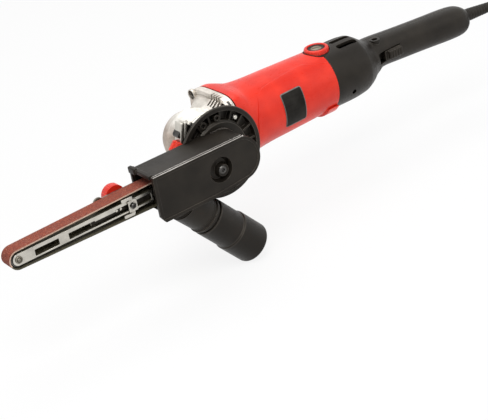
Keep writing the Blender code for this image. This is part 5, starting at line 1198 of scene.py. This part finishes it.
def makeGuides():
    g = guideSet
    back = beltY - armSet["halfY"] - 0.0003
    front = back - g["thick"]
    x, halfX, halfZ = g["x"], g["halfX"], g["halfZ"]
    plate = work(brick((x - halfX, front, -halfZ), (x + halfX, back, halfZ)))
    lowT, highT = g["tabZ"]
    stem = (front + back) / 2
    join(plate, brick((x - 0.0022, stem, 0.0006 - highT), (x + 0.0012, back, highT - 0.0006)),
         *[brick((g["tabX"][0], front, low), (g["tabX"][1], back, high), 0.0006, 1)
           for low, high in ((lowT, highT), (-highT, -lowT))])
    cut(plate, rod(0.0019, (x, front - 0.002, 0), (x, back + 0.002, 0), 32),
        rod(g["head"] + 0.0006, (x, front - 0.002, 0), (x, front + 0.0006, 0), 32))
    settle(plate, "guidePlate", "head", "bright_steel", ("guide_plate",), 0.0002)
    head = front - 0.0003
    points = ((0, trackSet["y"][1]), (0.0016, trackSet["y"][1]), (0.0016, head), (g["head"], head),
              (g["head"], head - 0.0008), (g["head"] - 0.0006, head - 0.0015), (0, head - 0.0016))
    settle(screwForm(points, "Y", (x, 0, 0), 0.0012, head - 0.0016, 0.0012), "guideScrew", "head", "dark_steel",
           ("guide_screw",), 0.0001)
    t = trackSet
    lowX, highX = t["x"]
    lowY, highY = t["y"]
    block = brick((lowX, lowY, -t["halfZ"]), (highX, highY, t["halfZ"]))
    nose = endEdges(block, lowX + 0.001)
    bmesh.ops.bevel(block, geom=nose, offset=t["halfZ"] * 0.99, segments=16, profile=0.5, affect="EDGES", material=-1)
    track = work(block)
    tipX, tipZ, tipRadius = t["tip"]
    join(track, rod(tipRadius, (tipX, lowY, tipZ), (tipX, highY, tipZ), 40))
    knobX, knobZ = t["knob"]
    cut(track, rod(0.0019, (x, lowY - 0.002, 0), (x, highY + 0.002, 0), 32),
        rod(0.0019, (knobX, lowY - 0.002, knobZ), (knobX, highY + 0.002, knobZ), 32))
    settle(track, "trackingPlate", "head", "bright_steel", ("tracking_plate",), 0.0001, look=dullSteel)
    low = highY + 0.0003
    high = low + t["depth"]
    r = t["radius"]
    knob = work(lathe(((0, high - 0.0008), (r * 0.52, high - 0.0008), (r * 0.60, high), (r - 0.0014, high),
                       (r - 0.0004, high - 0.0005), (r, high - 0.0014), (r, low), (0.0016, low),
                       (0.0016, lowY), (0, lowY)), "Y", (knobX, 0, knobZ), 80))
    flutes = turned(ringOf(t["flutes"], r + 0.0010,
                           lambda: rod(0.0013, (0, 0, low + 0.001), (0, 0, high + 0.002), 16)),
                    Matrix.Translation((knobX, 0, knobZ)) @ axisTurns["Y"])
    cut(knob, flutes, brick((knobX - 0.0052, high - 0.0018, knobZ - 0.0006),
                            (knobX + 0.0052, high + 0.001, knobZ + 0.0006)))
    settle(knob, "trackingKnob", "tracking", "red_plastic", ("tracking_knob",), 0.00015)


# Sanding belt: one loop over the drive wheel and the nose roller, grit out and cloth in.
beltSet = {"width": 0.013, "thick": 0.0011, "wheel": 0.0112, "nose": 0.0069, "noseX": -0.1985, "sides": 96,
           "cuts": 70}


def makeBelt():
    b = beltSet
    form = bmesh.new()
    bmesh.ops.create_circle(form, segments=b["sides"], radius=b["nose"])
    bmesh.ops.transform(form, matrix=Matrix.Rotation(math.pi / 2, 4, "X"), verts=form.verts)
    rear = [vert for vert in form.verts if vert.co.x > 0.0001]
    bmesh.ops.translate(form, vec=(b["noseX"], beltY - b["width"] / 2, 0), verts=form.verts)
    for vert in rear:  # the rear half of the ring opens out on to the drive wheel
        vert.co.x = (vert.co.x - b["noseX"]) * b["wheel"] / b["nose"]
        vert.co.z *= b["wheel"] / b["nose"]
    long = [edge for edge in form.edges if edge.calc_length() > 0.05]
    bmesh.ops.subdivide_edges(form, edges=long, cuts=b["cuts"])
    grown = bmesh.ops.extrude_edge_only(form, edges=form.edges[:])["geom"]
    bmesh.ops.translate(form, vec=(0, b["width"], 0), verts=newVerts(grown))
    bmesh.ops.recalc_face_normals(form, faces=form.faces)
    middle = Vector((b["noseX"] / 2, beltY, 0))
    if sum((face.calc_center_median() - middle).dot(face.normal) for face in form.faces) < 0:
        bmesh.ops.reverse_faces(form, faces=form.faces)
    bmesh.ops.solidify(form, geom=form.faces[:], thickness=-b["thick"])
    if form.calc_volume(signed=True) < 0:
        bmesh.ops.reverse_faces(form, faces=form.faces)
    belt = work(form)
    settle(belt, "sandingBelt", None, "abrasive_cloth", ("sanding_belt",), 0)
    mesh = belt.data
    mesh.materials.append(backing)
    mesh.materials.append(beltEdge)
    for face in mesh.polygons:
        spot = face.center - toolZero
        x = min(max(spot.x, b["noseX"]), 0.0)
        away = Vector((spot.x - x, 0, spot.z))
        if abs(face.normal.y) > 0.6:  # the lower run's edge takes the dark backing cloth: painted shade
            face.material_index = 2 if spot.z > -0.0035 else 1
        else:
            face.material_index = 0 if away.dot(face.normal) > 0 else 1
    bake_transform(belt)


makeClamp()
makeArm()
makeStrip()
makeSpring()
makeGuides()
makeBelt()
print("arm done")
